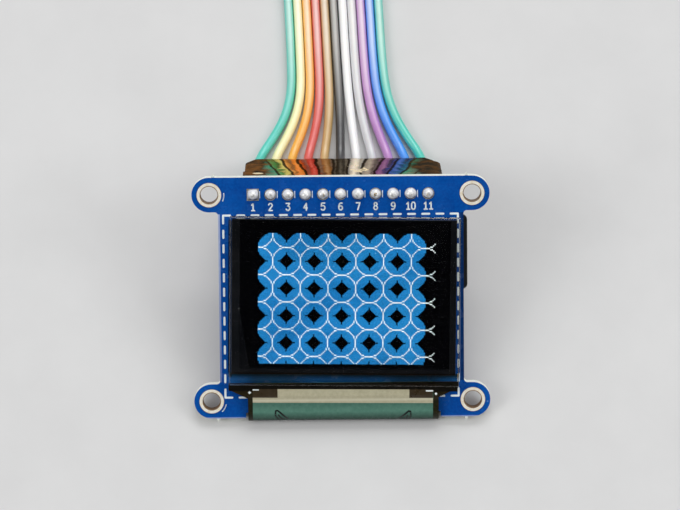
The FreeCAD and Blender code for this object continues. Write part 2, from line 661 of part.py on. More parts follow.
def lit_shape(kind):
    """The lit circles, clipped to the lit area: whole discs, or one-element rings."""
    dot = size["dot_pitch"]
    cell = size["cell_dots"] * dot
    width = size["dot_count_across"] * dot
    height = size["dot_count_up"] * dot
    thick = size["lit_thick"]
    rear = size["foam_thick"] + size["lid_thick"]
    base = rear - 2 * thick if kind == "discs" else rear - thick
    left = size["lit_x"] - width / 2
    top = size["lit_y"] + height / 2
    offset = cell / 2 if kind == "discs" else 0.0
    solids = []
    for column in range(math.ceil(size["dot_count_across"] / size["cell_dots"])):
        for line in range(math.ceil(size["dot_count_up"] / size["cell_dots"]) + 1):
            middle = Vector(left + offset + column * cell, top - offset - line * cell, base)
            if kind == "discs" and middle.x + cell / 2 > left + width + dot / 2:
                continue
            if kind == "discs" and middle.y < top - height:
                continue
            # A disc stays a tenth of an element inside its cell, so that discs don't touch
            outer = cell / 2 + (dot / 2 if kind == "rings" else -dot / 10)
            solid = Part.makeCylinder(outer, thick, middle)
            if kind == "rings":
                solid = solid.cut(Part.makeCylinder(cell / 2 - dot / 2, thick, middle))
            solids.append(solid)
    window = Part.makeBox(width, height, thick, Vector(left, top - height, base))
    if kind == "rings":
        return solids[0].multiFuse(solids[1:]).removeSplitter().common(window)
    return Part.makeCompound([solid.common(window).Solids[0] for solid in solids])


def lit_layers():
    """The two lit layers behind the front glass: blue discs, and white rings over them."""
    for label, kind in (("lit_discs", "discs"), ("lit_rings", "rings")):
        layer = doc.addObject("Part::Feature", label)
        layer.Label = label
        layer.Shape = lit_shape(kind)
        layer.Placement = LEANED * DISPLAY_SEAT
        subparts.append(layer)


def tangent_point(outside, centre, radius, turn):
    """Where the line from a point outside a circle touches it; turn picks the side."""
    gap = outside - centre
    reach = gap.Length
    angle = math.atan2(gap.y, gap.x) + turn * math.acos(radius / reach)
    return centre + Vector(math.cos(angle), math.sin(angle), 0) * radius


def tail_path():
    """The tail's middle line in the board's own upright plane, as runs and arcs."""
    thick = size["tail_thick"]
    rear = size["foam_thick"] + size["lid_thick"] - thick / 2
    glass_foot = size["glass_y"] - size["glass_height"] / 2
    radius = size["tail_bend"] - thick / 2
    bend_up = -size["board_height"] / 2 + size["tail_hide"] + size["tail_bend"]
    centre = Vector(bend_up, -size["board_thick"] / 2, 0)
    start = Vector(glass_foot + size["tail_overlap"], rear, 0)
    knee = Vector(glass_foot + size["tail_overlap"] - size["tail_flat"], rear, 0)
    upper = tangent_point(knee, centre, radius, 1)
    back = -size["board_thick"] - thick / 2
    heel = Vector(centre.x + size["tail_return"], back, 0)
    lower = tangent_point(heel, centre, radius, -1)
    end = Vector(heel.x + size["tail_land"], back, 0)
    outermost = centre + Vector(-radius, 0, 0)
    return start, knee, upper, outermost, lower, heel, end


def upright(point, across=0.0):
    """Turn a point of the upright plane into a point of the board's frame."""
    return Vector(across, point.x, point.y)


def display_flex():
    """The flexible tail: glued under the glass, bent round the board's lower edge."""
    start, knee, upper, outermost, lower, heel, end = [upright(point) for point in tail_path()]
    path = Part.Wire(
        [
            Part.LineSegment(start, knee).toShape(),
            Part.LineSegment(knee, upper).toShape(),
            Part.Arc(upper, outermost, lower).toShape(),
            Part.LineSegment(lower, heel).toShape(),
            Part.LineSegment(heel, end).toShape(),
        ]
    )
    wide = size["tail_shoulder"]
    half_thick = size["tail_thick"] / 2
    corners = [
        start + Vector(sx * wide / 2, 0, sz * half_thick)
        for sx, sz in ((-1, -1), (1, -1), (1, 1), (-1, 1), (-1, -1))
    ]
    sweep = Part.BRepOffsetAPI.MakePipeShell(path)
    sweep.setTransitionMode(1)
    sweep.add(Part.makePolygon(corners))
    sweep.build()
    sweep.makeSolid()
    strip = sweep.shape()
    # The tail is cut narrower below its shoulders
    narrow = size["tail_width"] / 2
    taper_top = start.y - size["tail_shoulder_depth"]
    taper_foot = taper_top - size["tail_taper"]
    reach = size["board_height"]
    tall = 2 * strip_end
    for side in (-1, 1):
        trim = [
            Vector(side * (wide / 2 + 1), taper_top, -tall),
            Vector(side * wide / 2, taper_top, -tall),
            Vector(side * narrow, taper_foot, -tall),
            Vector(side * narrow, taper_foot - reach, -tall),
            Vector(side * (wide / 2 + 1), taper_foot - reach, -tall),
        ]
        face = Part.Face(Part.makePolygon(trim + trim[:1]))
        strip = strip.cut(face.extrude(Vector(0, 0, 2 * tall)))
        behind = Part.makeBox(wide, 2 * reach, tall, Vector(0, -reach, -tall - size["board_thick"]))
        behind.translate(Vector(narrow if side > 0 else -narrow - wide, 0, 0))
        strip = strip.cut(behind)
    tail = doc.addObject("Part::Feature", "display_flex")
    tail.Label = "display_flex"
    tail.Shape = strip
    tail.Placement = LEANED * Placement(Vector(size["tail_x"], 0, 0), Rotation())
    subparts.append(tail)


def driver_chip():
    """The slim driver chip under the flat stretch of the tail."""
    body = new_body("driver_chip")
    base = "foam_thick + lid_thick - tail_thick"
    outline = new_sketch(body, "Outline", lift=base)
    up = "glass_y - glass_height / 2 + tail_overlap - tail_flat + driver_width / 2 + driver_inset"
    add_rectangle(outline, "driver_length", "driver_width", "tail_x", up)
    pad(body, "Die", outline, "driver_thick", down=True)


def flex_joints():
    """The row of soldered joints at the tail's end on the board's back."""
    body = new_body("flex_joints")
    joint = new_sketch(body, "Joint", lift="-board_thick")
    first = "tail_x - (joint_count - 1) * joint_pitch / 2"
    tail_end = "-board_height / 2 + tail_hide + tail_bend + tail_return + tail_land"
    add_rectangle(joint, "joint_width", "joint_length", first, f"{tail_end} + joint_length / 2")
    bead = pad(body, "Bead", joint, "joint_height", down=True)
    pattern(body, "Beads", [bead], joint, "(joint_count - 1) * joint_pitch", "joint_count")


def sd_shell():
    """The card holder's stamped cover: a shallow metal box open to the board and the side."""
    body = new_body("sd_shell", BACK_SEAT)
    outline = new_sketch(body, "Outline")
    add_rectangle(outline, "shell_length", "shell_width", "-shell_x", "card_y")
    block = pad(body, "Block", outline, "shell_height")
    doc.recompute()
    top = size["shell_height"]
    round_edges(body, "Folds", block, level_edges(block, top), "fold_radius")
    inside = new_sketch(body, "Inside")
    inner_length = "shell_length - shell_sheet"
    inner_across = "-shell_x - shell_sheet / 2"
    add_rectangle(inside, inner_length, "shell_width - 2 * shell_sheet", inner_across, "card_y")
    pocket(body, "InsideCut", inside, "shell_height - shell_sheet", up=True)
    slots = new_sketch(body, "LatchSlots", lift="shell_height")
    for across, up in LATCH_PLACES:
        for side in ("-1", "1"):
            middle = f"card_y + {up} + {side} * latch_width / 2"
            add_rectangle(slots, "latch_length", "latch_cut", f"-shell_x + {across}", middle)
    pocket(body, "Slots", slots, "shell_sheet")


def sd_bed():
    """The card holder's plastic bed, with a raised stop and two side rails."""
    body = new_body("sd_bed", BACK_SEAT)
    inner = "shell_width - 2 * shell_sheet"
    outline = new_sketch(body, "Outline")
    bed_length = "shell_length - shell_sheet"
    add_rectangle(outline, bed_length, inner, "-shell_x - shell_sheet / 2", "card_y")
    pad(body, "Bed", outline, "bed_thick")
    rails = new_sketch(body, "Rails", lift="bed_thick")
    rail = f"(({inner}) - card_width) / 2 - card_slack"
    rail_up = f"(card_width + 2 * card_slack + {rail}) / 2"
    for side in ("-1", "1"):
        add_rectangle(rails, bed_length, rail, "-shell_x - shell_sheet / 2", f"card_y + {side} * {rail_up}")
    pad(body, "SideRails", rails, "card_thick")


def sd_contacts():
    """The card holder's eight flat contacts on its bed."""
    body = new_body("sd_contacts", BACK_SEAT)
    strip = new_sketch(body, "Strip", lift="bed_thick")
    first = "card_y - (contact_count - 1) * contact_pitch / 2"
    across = "-card_x + card_length / 2 - contact_length / 2 - shell_sheet"
    add_rectangle(strip, "contact_length", "contact_width", across, first)
    one = pad(body, "Contact", strip, "contact_height")
    span = "(contact_count - 1) * contact_pitch"
    pattern(body, "Contacts", [one], strip, span, "contact_count", axis="V_Axis")


def memory_card():
    """The memory card: thin plate, side notch and a thicker lip at its outer end."""
    body = new_body("memory_card", BACK_SEAT)
    base = "bed_thick + contact_height"
    outline = new_sketch(body, "Outline", lift=base)
    add_rectangle(outline, "card_length", "card_width", "-card_x", "card_y")
    plate = pad(body, "Plate", outline, "card_thick")
    doc.recompute()
    places = corners_of(size["card_length"], size["card_width"], -size["card_x"], size["card_y"])
    round_edges(body, "Corners", plate, upright_edges(plate, places), "card_corner")
    notch = new_sketch(body, "SideNotch", lift=f"{base} + card_thick")
    notch_across = "-card_x - card_notch_length / 2"
    add_rectangle(notch, "card_notch_length", "2 * card_notch_depth", notch_across, "card_y + card_width / 2")
    pocket(body, "NotchCut", notch, "card_thick")
    lip = new_sketch(body, "Lip", lift=f"{base} + card_thick")
    lip_across = "-card_x - (card_length - card_lip_length) / 2"
    add_rectangle(lip, "card_lip_length", "card_width - 2 * card_corner", lip_across, "card_y")
    pad(body, "OuterLip", lip, "card_lip - card_thick")


def moulded_chip(label, place, kind):
    """A moulded chip body: a block with bevelled upper edges, sized by its kind."""
    seat = BACK_SEAT * Placement(Vector(-place[0], place[1], 0), Rotation())
    body = new_body(label, seat)
    outline = new_sketch(body, "Outline", lift="lead_thick")
    add_rectangle(outline, f"{kind}_length", f"{kind}_width")
    block = pad(body, "Block", outline, f"{kind}_height - lead_thick")
    doc.recompute()
    top = size[f"{kind}_height"]
    bevel_edges(body, "UpperBevel", block, level_edges(block, top), "lead_thick")


def chip_leads(label, place, kind):
    """Bent leads along both sides of a chip, sized and counted by its kind."""
    seat = BACK_SEAT * Placement(Vector(-place[0], place[1], 0), Rotation())
    body = new_body(label, seat)
    middle = f"({kind}_height / 2)"
    reach = f"({kind}_width / 2)"
    span = f"({kind}_lead_count - 1) * {kind}_pitch"
    for sign in ("-1", "1"):
        knee = f"{sign} * ({reach} + 3 * lead_thick)"
        inner_knee = f"{sign} * ({reach} + 2 * lead_thick)"
        toe = f"{sign} * ({reach} + 6 * lead_thick)"
        profile = new_sketch(body, f"Profile{sign}", plane="YZ_Plane", lift=f"-({span}) / 2")
        add_outline(
            profile,
            [
                (f"{sign} * {reach}", f"{middle} - lead_thick / 2"),
                (inner_knee, f"{middle} - lead_thick / 2"),
                (inner_knee, "0"),
                (toe, "0"),
                (toe, "lead_thick"),
                (knee, "lead_thick"),
                (knee, f"{middle} + lead_thick / 2"),
                (f"{sign} * {reach}", f"{middle} + lead_thick / 2"),
            ],
        )
        lead = pad(body, f"Lead{sign}", profile, "lead_width")
        pattern(body, f"Leads{sign}", [lead], profile, span, f"{kind}_lead_count", axis="N_Axis")


def inductor():
    """The shielded inductor: a low block with cut corners and a round core on top."""
    seat = BACK_SEAT * Placement(Vector(-COIL_PLACE[0], COIL_PLACE[1], 0), Rotation())
    body = new_body("inductor", seat)
    outline = new_sketch(body, "Outline")
    add_rectangle(outline, "coil_side", "coil_side")
    block = pad(body, "Block", outline, "coil_height - lead_thick")
    doc.recompute()
    places = corners_of(size["coil_side"], size["coil_side"])
    bevel_edges(body, "CutCorners", block, upright_edges(block, places), "coil_corner")
    core = new_sketch(body, "Core", lift="coil_height - lead_thick")
    add_circle(core, "coil_core")
    pad(body, "CoreTop", core, "lead_thick")


def diode():
    """The diode's moulded body with a flat terminal at each end."""
    moulded_chip("diode", DIODE_PLACE, "diode")
    body = subparts[-1]
    tabs = new_sketch(body, "Tabs")
    for side in ("-1", "1"):
        middle = f"{side} * ((diode_length - tab_length) / 2 + tab_out)"
        add_rectangle(tabs, "tab_length", "tab_width", middle, "0")
    pad(body, "TerminalTabs", tabs, "lead_thick")


def chip_parts():
    """Capacitors and resistors on the back, with their metal ends in a node of their own."""
    ends = new_body("chip_ends", BACK_SEAT)
    end_height = {"capacitors": "chip_cap_height", "resistors": "chip_res_height"}
    kinds = (
        ("capacitors", CAPACITOR_PLACES, "chip_cap_length", "chip_cap_width"),
        ("resistors", RESISTOR_PLACES, "chip_res_length", "chip_res_width"),
    )
    for label, places, length, width in kinds:
        body = new_body(label, BACK_SEAT)
        outline = new_sketch(body, "Outline")
        caps = new_sketch(ends, f"Ends_{label}")
        for across, up in places:
            add_rectangle(outline, length, width, str(-across), str(up))
            for side in ("-1", "1"):
                middle = f"{-across} + {side} * ({length} + chip_end) / 2"
                add_rectangle(caps, "chip_end", width, middle, str(up))
        pad(body, "Blocks", outline, end_height[label])
        pad(ends, f"Caps_{label}", caps, end_height[label])


def wire_points(index):
    """The route of one wire: the ribbon's rows, moved across by its place in the ribbon."""
    place = index - (len(WIRE_NAMES) - 1) / 2
    return [Vector(middle + place * spacing, back, up) for back, up, middle, spacing in RIBBON_ROWS]


def tube(points, diameter):
    """Sweep a round section along straight runs joined by tangent arcs."""
    edges = []
    last = points[0]
    radii = []
    for before, corner, after in zip(points, points[1:], points[2:]):
        into = corner - before
        out = after - corner
        setback = BEND_SHARE * min(into.Length, out.Length)
        half_turn = into.getAngle(out) / 2
        radius = setback / math.tan(half_turn)
        radii.append(radius)
        into.normalize()
        out.normalize()
        first = corner - into * setback
        second = corner + out * setback
        inward = out - into
        inward.normalize()
        centre = corner + inward * (radius / math.cos(half_turn))
        crown = centre - inward * radius
        edges.append(Part.LineSegment(last, first).toShape())
        edges.append(Part.Arc(first, crown, second).toShape())
        last = second
    edges.append(Part.LineSegment(last, points[-1]).toShape())
    path = Part.Wire(edges)
    start_way = points[1] - points[0]
    ring = Part.Wire([Part.makeCircle(diameter / 2, points[0], start_way)])
    solid = path.makePipeShell([ring], True, False, 1)
    section = math.pi * diameter**2 / 4
    print(f"tube length {path.Length:.1f} mm, least radius {min(radii):.1f} mm,",
          f"volume over section times length {solid.Volume / (section * path.Length):.4f}")
    return solid


def plug_turn(points):
    """The heading of a wire's last run, as a turn about the upright axis in degrees."""
    run = points[-1] - points[-2]
    return -math.degrees(math.atan2(run.x, run.y))


def wires_and_plugs():
    """Eleven wires, and on the free end of each a single plug housing lying on the floor."""
    side = size["socket_side"]
    inset = size["wire_inset"]
    length = size["socket_length"]
    pins = []
    for index, name in enumerate(WIRE_NAMES):
        points = wire_points(index)
        end = points[-1]
        heading = Rotation(Vector(0, 0, 1), plug_turn(points))
        shift = heading.multVec(Vector(0, PLUG_SHIFTS[index], 0))
        points[-1] = end + shift
        wire = doc.addObject("Part::Feature", name)
        wire.Label = name
        wire.Shape = tube(points, size["wire_width"])
        subparts.append(wire)
        housing = Part.makeBox(side, length, side, Vector(-side / 2, -inset, -side / 2))
        bore = Part.makeCylinder(size["wire_bore"] / 2, length, Vector(0, -inset, 0), Vector(0, 1, 0))
        cavity_side = size["socket_cavity"]
        cavity_start = length - inset - size["socket_cavity_depth"]
        corner = Vector(-cavity_side / 2, cavity_start, -cavity_side / 2)
        cavity = Part.makeBox(cavity_side, size["socket_cavity_depth"], cavity_side, corner)
        window_corner = Vector(
            -size["window_width"] / 2,
            length - inset - size["window_from"] - size["window_length"],
            0,
        )
        window = Part.makeBox(size["window_width"], size["window_length"], side, window_corner)
        plug = doc.addObject("Part::Feature", f"plug_{index + 1:02d}")
        plug.Label = f"plug_{index + 1:02d}"
        plug.Shape = housing.cut(bore).cut(cavity).cut(window)
        plug.Placement = Placement(points[-1], heading)
        subparts.append(plug)
        pins.append(plug_pin(Placement(points[-1], heading)))
    group = doc.addObject("Part::Feature", "plug_pins")
    group.Label = "plug_pins"
    group.Shape = Part.makeCompound(pins)
    subparts.append(group)


def plug_pin(place):
    """The terminal of a free plug: barrel on the wire, sleeve in the cavity, square pin out."""
    side = size["pin_side"]
    inset = size["wire_inset"]
    length = size["socket_length"]
    sleeve = size["crimp_outside"]
    sleeve_start = length - inset - size["crimp_from"] - size["crimp_length"]
    barrel = Part.makeCylinder(size["crimp_barrel"] / 2, sleeve_start, Vector(0, 0, 0), Vector(0, 1, 0))
    block = Part.makeBox(sleeve, size["crimp_length"], sleeve, Vector(-sleeve / 2, sleeve_start, -sleeve / 2))
    pin_start = sleeve_start + size["crimp_length"]
    reach = size["crimp_from"] + size["pin_length"]
    pin = Part.makeBox(side, reach, side, Vector(-side / 2, pin_start, -side / 2))
    end_edges = [edge for edge in pin.Edges if abs(edge.BoundBox.YMin - pin_start - reach) < 1e-6]
    pin = pin.makeChamfer(size["pin_point"] / 2, end_edges)
    solid = barrel.fuse([block, pin])
    solid.Placement = place
    return solid


circuit_board()
hole_rings()
pin_pads()
solder_joints()
header_strip()
header_pins()
jumper_sockets()
jumper_crimps()
wrap_tape()
foam_tape()
lid_glass()
display_glass()
polariser()
lit_layers()
display_flex()
driver_chip()
flex_joints()
sd_shell()
sd_bed()
sd_contacts()
memory_card()
moulded_chip("level_shifter", SHIFTER_PLACE, "shifter")
chip_leads("level_shifter_leads", SHIFTER_PLACE, "shifter")
moulded_chip("regulator", REGULATOR_PLACE, "small")
chip_leads("regulator_leads", REGULATOR_PLACE, "small")
moulded_chip("boost_converter", BOOST_PLACE, "small")
chip_leads("boost_leads", BOOST_PLACE, "small")
inductor()
diode()
chip_parts()
wires_and_plugs()
doc.recompute()

# Nothing is written unless every object is sound
for item in doc.Objects:
    if "Invalid" in item.State or "Error" in item.State:
        raise ValueError(f"{item.Label} failed: {item.State}")
for item in subparts:
    if item.Shape.isNull() or not item.Shape.isValid() or not item.Shape.Solids:
        raise ValueError(f"{item.Label} has no sound shape")

os.makedirs("parts", exist_ok=True)
for item in subparts:
    item.Shape.exportStep(f"parts/{item.Label}.step")
print(len(subparts), "sub-parts written")
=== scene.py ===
import math
import random
import bmesh
import bpy
from mathutils import Matrix, Vector, noise as field


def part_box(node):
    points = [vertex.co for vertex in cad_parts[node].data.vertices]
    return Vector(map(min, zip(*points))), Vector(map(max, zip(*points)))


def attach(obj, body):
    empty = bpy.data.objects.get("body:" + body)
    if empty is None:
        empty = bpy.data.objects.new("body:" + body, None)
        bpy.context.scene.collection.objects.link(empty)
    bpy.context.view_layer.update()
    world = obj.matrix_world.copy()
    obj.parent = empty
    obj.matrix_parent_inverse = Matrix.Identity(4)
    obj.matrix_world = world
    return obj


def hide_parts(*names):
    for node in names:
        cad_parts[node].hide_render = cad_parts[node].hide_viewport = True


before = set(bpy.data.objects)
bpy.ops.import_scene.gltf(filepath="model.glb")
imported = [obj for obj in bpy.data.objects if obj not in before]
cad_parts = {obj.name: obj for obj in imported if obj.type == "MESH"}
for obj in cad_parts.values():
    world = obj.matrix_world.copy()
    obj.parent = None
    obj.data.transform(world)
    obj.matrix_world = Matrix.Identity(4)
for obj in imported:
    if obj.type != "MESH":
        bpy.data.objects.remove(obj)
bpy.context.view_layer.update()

# A small lit display board that leans back on its rear edge, with a ribbon of eleven
# jumper wires taped on its rear header. Board pieces are drawn on the board, X across,
# Y up the board and Z out of its face, in metres, and are placed by the BOARD matrix.

MM = 0.001
LEAN = math.radians(33.0)
BOARD_THICK = 1.6 * MM
BOARD_HALF = 17.78 * MM
HOLE_X = 19.05 * MM
HOLE_Y = 15.24 * MM
HOLE_RADIUS = 1.25 * MM
PIN_COUNT = 11
PIN_PITCH = 2.54 * MM
PIN_ROW = 15.24 * MM
WIRE_WIDTH = 1.32 * MM

# The rings lie on both faces of the board, so the middle of their box is inside the board
ring_low, ring_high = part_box("hole_rings")
OUTWARD = Vector((0, -math.sin(LEAN), math.cos(LEAN)))
BOARD_MIDDLE = (Vector(ring_low) + Vector(ring_high)) / 2 + OUTWARD * BOARD_THICK / 2
BOARD = Matrix.Translation(BOARD_MIDDLE) @ Matrix.Rotation(LEAN, 4, "X")

# The display is turned a little on the board
DISPLAY_PLACE = Vector((0.47, -0.3, 0)) * MM
DISPLAY_TURN = math.radians(-0.95)
DISPLAY = BOARD @ Matrix.Translation(DISPLAY_PLACE) @ Matrix.Rotation(DISPLAY_TURN, 4, "Z")
DOT_PITCH = 0.2008 * MM
LIT_LOW = Vector((0.27 - 64 * 0.2008, 0.35 - 48 * 0.2008, 0)) * MM

random.seed(11)


# Shader nodes

def works_as(operation):
    """A sign between two values, as the shader operation that it stands for."""
    return lambda value, other=0.0: value.work(operation, other)


class Value:
    """What a shader node gives. Values are reckoned with by the usual signs, and | takes the
    larger of two and & the smaller."""

    def __init__(self, socket):
        self.socket = socket
        self.tree = socket.id_data

    def work(self, operation, other=0.0):
        return make(self.tree, "Math", 0, {0: self, 1: other}, operation=operation)

    def __rsub__(self, other):
        return make(self.tree, "Math", 0, {0: other, 1: self}, operation="SUBTRACT")

    __add__ = works_as("ADD")
    __sub__ = works_as("SUBTRACT")
    __mul__ = works_as("MULTIPLY")
    __truediv__ = works_as("DIVIDE")
    __lt__ = works_as("LESS_THAN")
    __gt__ = works_as("GREATER_THAN")
    __or__ = works_as("MAXIMUM")
    __and__ = works_as("MINIMUM")
    __abs__ = works_as("ABSOLUTE")


def add(tree, kind, inputs=None, **settings):
    """Add a shader node, set it up, and link or fill its inputs."""
    made = tree.nodes.new("ShaderNode" + kind)
    for name, value in settings.items():
        setattr(made, name, value)
    for label, value in (inputs or {}).items():
        if isinstance(value, Value):
            tree.links.new(value.socket, made.inputs[label])
        else:
            made.inputs[label].default_value = value
    return made


def make(tree, kind, output, inputs=None, **settings):
    """Add a shader node and give one of its outputs."""
    return Value(add(tree, kind, inputs, **settings).outputs[output])


def light_values(colour):
    """A colour given as it looks on a screen, 0 to 255, turned into light values."""
    if isinstance(colour, Value) or len(colour) == 4:
        return colour
    parts = []
    for value in colour:
        share = value / 255
        parts.append(share / 12.92 if share <= 0.04045 else ((share + 0.055) / 1.055) ** 2.4)
    return (*parts, 1.0)


def blend(mask, first, second):
    """Mix two colours by a mask."""
    tree = next(part.tree for part in (mask, first, second) if isinstance(part, Value))
    inputs = {0: mask, 6: light_values(first), 7: light_values(second)}
    return make(tree, "Mix", 2, inputs, data_type="RGBA")


def span(value, low, high, to_low=0.0, to_high=1.0):
    """Map a range of values to another, held at its ends."""
    inputs = {"Value": value, "From Min": low, "From Max": high, "To Min": to_low, "To Max": to_high}
    return make(value.tree, "MapRange", "Result", inputs)


def noise(place, scale, detail=3.0, rough=0.55):
    inputs = {"Vector": place, "Scale": scale, "Detail": detail, "Roughness": rough}
    return make(place.tree, "TexNoise", "Fac", inputs)


def bump(height, depth, strength, normal=None):
    inputs = {"Height": height, "Distance": depth, "Strength": strength}
    if normal is not None:
        inputs["Normal"] = normal
    return make(height.tree, "Bump", "Normal", inputs)


def axes(place, names="XYZ"):
    parts = add(place.tree, "SeparateXYZ", {"Vector": place}).outputs
    return [Value(parts[name]) for name in names]


def agreement(first, second):
    """How far two directions agree, 1 where they are the same."""
    return make(first.tree, "VectorMath", "Value", {0: first, 1: second}, operation="DOT_PRODUCT")


def distance(across, up):
    step = make(across.tree, "CombineXYZ", 0, {"X": across, "Y": up})
    return make(across.tree, "VectorMath", "Value", {0: step}, operation="LENGTH")


def on_board(place, matrix=BOARD):
    """Turn a CAD node's coordinates into the board's own, X across and Y up the board."""
    back = matrix.inverted()
    turned = add(place.tree, "Mapping", {"Vector": place})
    turned.inputs["Rotation"].default_value = back.to_euler()
    turned.inputs["Location"].default_value = back.to_translation()
    return Value(turned.outputs["Vector"])


# Effects that many materials share

def soft_mottle(place, scale, shade, other_shade, contrast):
    """Two shades of one colour in soft patches."""
    mask = span(noise(place, scale, 4.0, 0.6), 0.5 - contrast, contrast + 0.5)
    return blend(mask, shade, other_shade), mask


def moulded_grain(place, scale, low_roughness, high_roughness):
    """Fine moulded grain: a height, and a roughness that wanders between two values."""
    broad = noise(place, scale * 0.12, 3.0, 0.5)
    return noise(place, scale, 5.0, 0.65), span(broad, 0.3, 0.7, low_roughness, high_roughness)


def dust_specks(place, scale, size, share):
    """Sparse dust specks of different sizes."""
    cells = add(place.tree, "TexVoronoi", {"Vector": place, "Scale": scale}).outputs
    chosen = add(place.tree, "SeparateColor", {"Color": Value(cells["Color"])}).outputs
    inside = Value(cells["Distance"]) < size * (Value(chosen["Green"]) + 0.3)
    return ((Value(chosen["Red"]) < share) * inside,)


def fine_scuffs(place, scale, stretch, share):
    """Fine scratches that run along one way, thin and broken."""
    drawn = make(place.tree, "VectorMath", 0, {0: place, 1: stretch}, operation="MULTIPLY")
    top = 0.72 - share
    return (span(noise(drawn, scale, 2.0, 0.4), top, top + 0.05),)


def soft_edges(radius):
    """Rounded edges for light to catch, and a mask of where the edges are."""
    rounded = make(radius.tree, "Bevel", "Normal", {"Radius": radius}, samples=6)
    plain = make(radius.tree, "NewGeometry", "Normal")
    return rounded, span(agreement(rounded, plain), 0.99, 0.8)


def shared(draw, inputs, outputs):
    """A node group that draws an effect, with its inputs and outputs by name."""
    tree = bpy.data.node_groups.new(draw.__name__, "ShaderNodeTree")
    for label, kind, value in inputs:
        socket = tree.interface.new_socket(label, in_out="INPUT", socket_type="NodeSocket" + kind)
        if value is not None:
            socket.default_value = value
    for label, kind in outputs:
        tree.interface.new_socket(label, in_out="OUTPUT", socket_type="NodeSocket" + kind)
    entry = tree.nodes.new("NodeGroupInput").outputs
    leave = tree.nodes.new("NodeGroupOutput").inputs
    given = [Value(entry[label]) for label, kind, value in inputs]
    for (label, kind), made in zip(outputs, draw(*given)):
        tree.links.new(made.socket, leave[label])
    return tree


PLACE = ("Place", "Vector", None)
MOTTLE = shared(
    soft_mottle,
    [PLACE, ("Scale", "Float", 400.0), ("Shade", "Color", (0.5, 0.5, 0.5, 1)),
     ("Other Shade", "Color", (0.6, 0.6, 0.6, 1)), ("Contrast", "Float", 0.15)],
    [("Color", "Color"), ("Mask", "Float")])
GRAIN = shared(
    moulded_grain,
    [PLACE, ("Scale", "Float", 6000.0), ("Low Roughness", "Float", 0.35),
     ("High Roughness", "Float", 0.5)],
    [("Height", "Float"), ("Roughness", "Float")])
SPECKS = shared(
    dust_specks,
    [PLACE, ("Scale", "Float", 900.0), ("Size", "Float", 0.12), ("Share", "Float", 0.2)],
    [("Mask", "Float")])
SCUFFS = shared(
    fine_scuffs,
    [PLACE, ("Scale", "Float", 300.0), ("Stretch", "Vector", (1.0, 14.0, 14.0)),
     ("Share", "Float", 0.12)],
    [("Mask", "Float")])
EDGES = shared(soft_edges, [("Radius", "Float", 0.0001)], [("Normal", "Vector"), ("Mask", "Float")])


class Finish:
    """A material in the making; plain values go on the shader's own sockets."""

    def __init__(self, name, **plain):
        self.material = bpy.data.materials.new(name)
        self.material.use_nodes = True
        self.tree = self.material.node_tree
        self.shader = self.tree.nodes["Principled BSDF"]
        for label, value in plain.items():
            self.shader.inputs[label.replace("_", " ")].default_value = value
        self.place = make(self.tree, "TexCoord", "Object")

    def effect(self, group, *values):
        """Place a shared effect, its inputs filled in their order."""
        made = add(self.tree, "Group", dict(enumerate(values)), node_tree=group)
        return [Value(socket) for socket in made.outputs]

    def mottle(self, scale, shade, other, contrast=0.15):
        shades = light_values(shade), light_values(other)
        return self.effect(MOTTLE, self.place, scale, *shades, contrast)[0]

    def grain(self, scale, low, high):
        return self.effect(GRAIN, self.place, scale, low, high)

    def specks(self, scale, size, share):
        return self.effect(SPECKS, self.place, scale, size, share)[0]

    def scuffs(self, scale, share, stretch=(1.0, 14.0, 14.0)):
        return self.effect(SCUFFS, self.place, scale, stretch, share)[0]

    def edges(self, radius):
        return self.effect(EDGES, radius * MM)

    def normal(self):
        return make(self.tree, "TexCoord", "Normal")

    def link(self, **sockets):
        for label, value in sockets.items():
            self.tree.links.new(value.socket, self.shader.inputs[label.replace("_", " ")])
        return self.material

    def surface(self, colour, grain, depth, strength=0.5, normal=None, **more):
        """Link a colour, and grain as its roughness and as a fine relief."""
        height, rough = grain
        relief = bump(height, depth * MM, strength, normal)
        return self.link(Base_Color=colour, Roughness=rough, Normal=relief, **more)


# Finishes

# On the board: the rings' radius, past which lies a dark line of painted shade, the painted
# highlight line along the glass's right side, how far up and down the painted shade and highlight
# beside the display reach, and where the broken stubs start
RING_SHOWN = 1.78 * MM
GLASS_HIGHLIGHT = 17.2 * MM
SIDE_REACH = 12.4 * MM
STUB_START = 17.81 * MM
# On the display: its half width, the lid's half height, and the bare ledge below the lid,
# from its shaded start to its end
GLASS_HALF = 16.95 * MM
LID_REACH = 11.6 * MM
LEDGE_SHADE = -10.55 * MM
LEDGE_DARK = -10.85 * MM
LEDGE_CLEAR = -11.5 * MM
LEDGE_END = -12.7 * MM
# Past this the lid's left side shows as a grey line, a painted highlight on its edge
LID_HIGHLIGHT_EDGE = -16.42 * MM
# The black area behind the film: its middle and half size, and its slanting left edge
BLACK_MIDDLE = Vector((0.01, 0.95)) * MM
BLACK_HALF = Vector((15.25, 10.9)) * MM
SLANT_FROM = -1.1 * MM
SLANT_SHARE = 0.16
# The tail, up the board: the rows where the painted shade on its green cover is deepest and where
# it is none, and the row of the painted highlight along its crest
TAIL_DARK = -18.3 * MM
TAIL_PALE = -16.7 * MM
CREST_HIGHLIGHT = -14.95 * MM
# How the wires look mirrored in the tape: their spacing at its rear and at its front
MIRROR_REAR = -20.9 * MM
MIRROR_FRONT = -8.0 * MM
MIRROR_SHRINK = 0.76
# Painted highlights on the tape, a pale crease and a glint: middle and half size, across and out of the
# board
CREASE_HIGHLIGHT = ((2.75, -13.3), (1.5, 2.9))
GLINT = ((-12.1, -10.4), (0.9, 0.6))
# Behind this the film lies twice
TAPE_LAP = -13.2 * MM
# The wires' colours for their painted reflection in the film, from one side to the other
REFLECTED_WIRES = (
    (36, 150, 122), (170, 176, 66), (226, 138, 34), (206, 52, 44), (150, 92, 44), (40, 34, 34),
    (250, 248, 244), (150, 144, 142), (122, 82, 160), (50, 84, 190), (30, 140, 118),
)


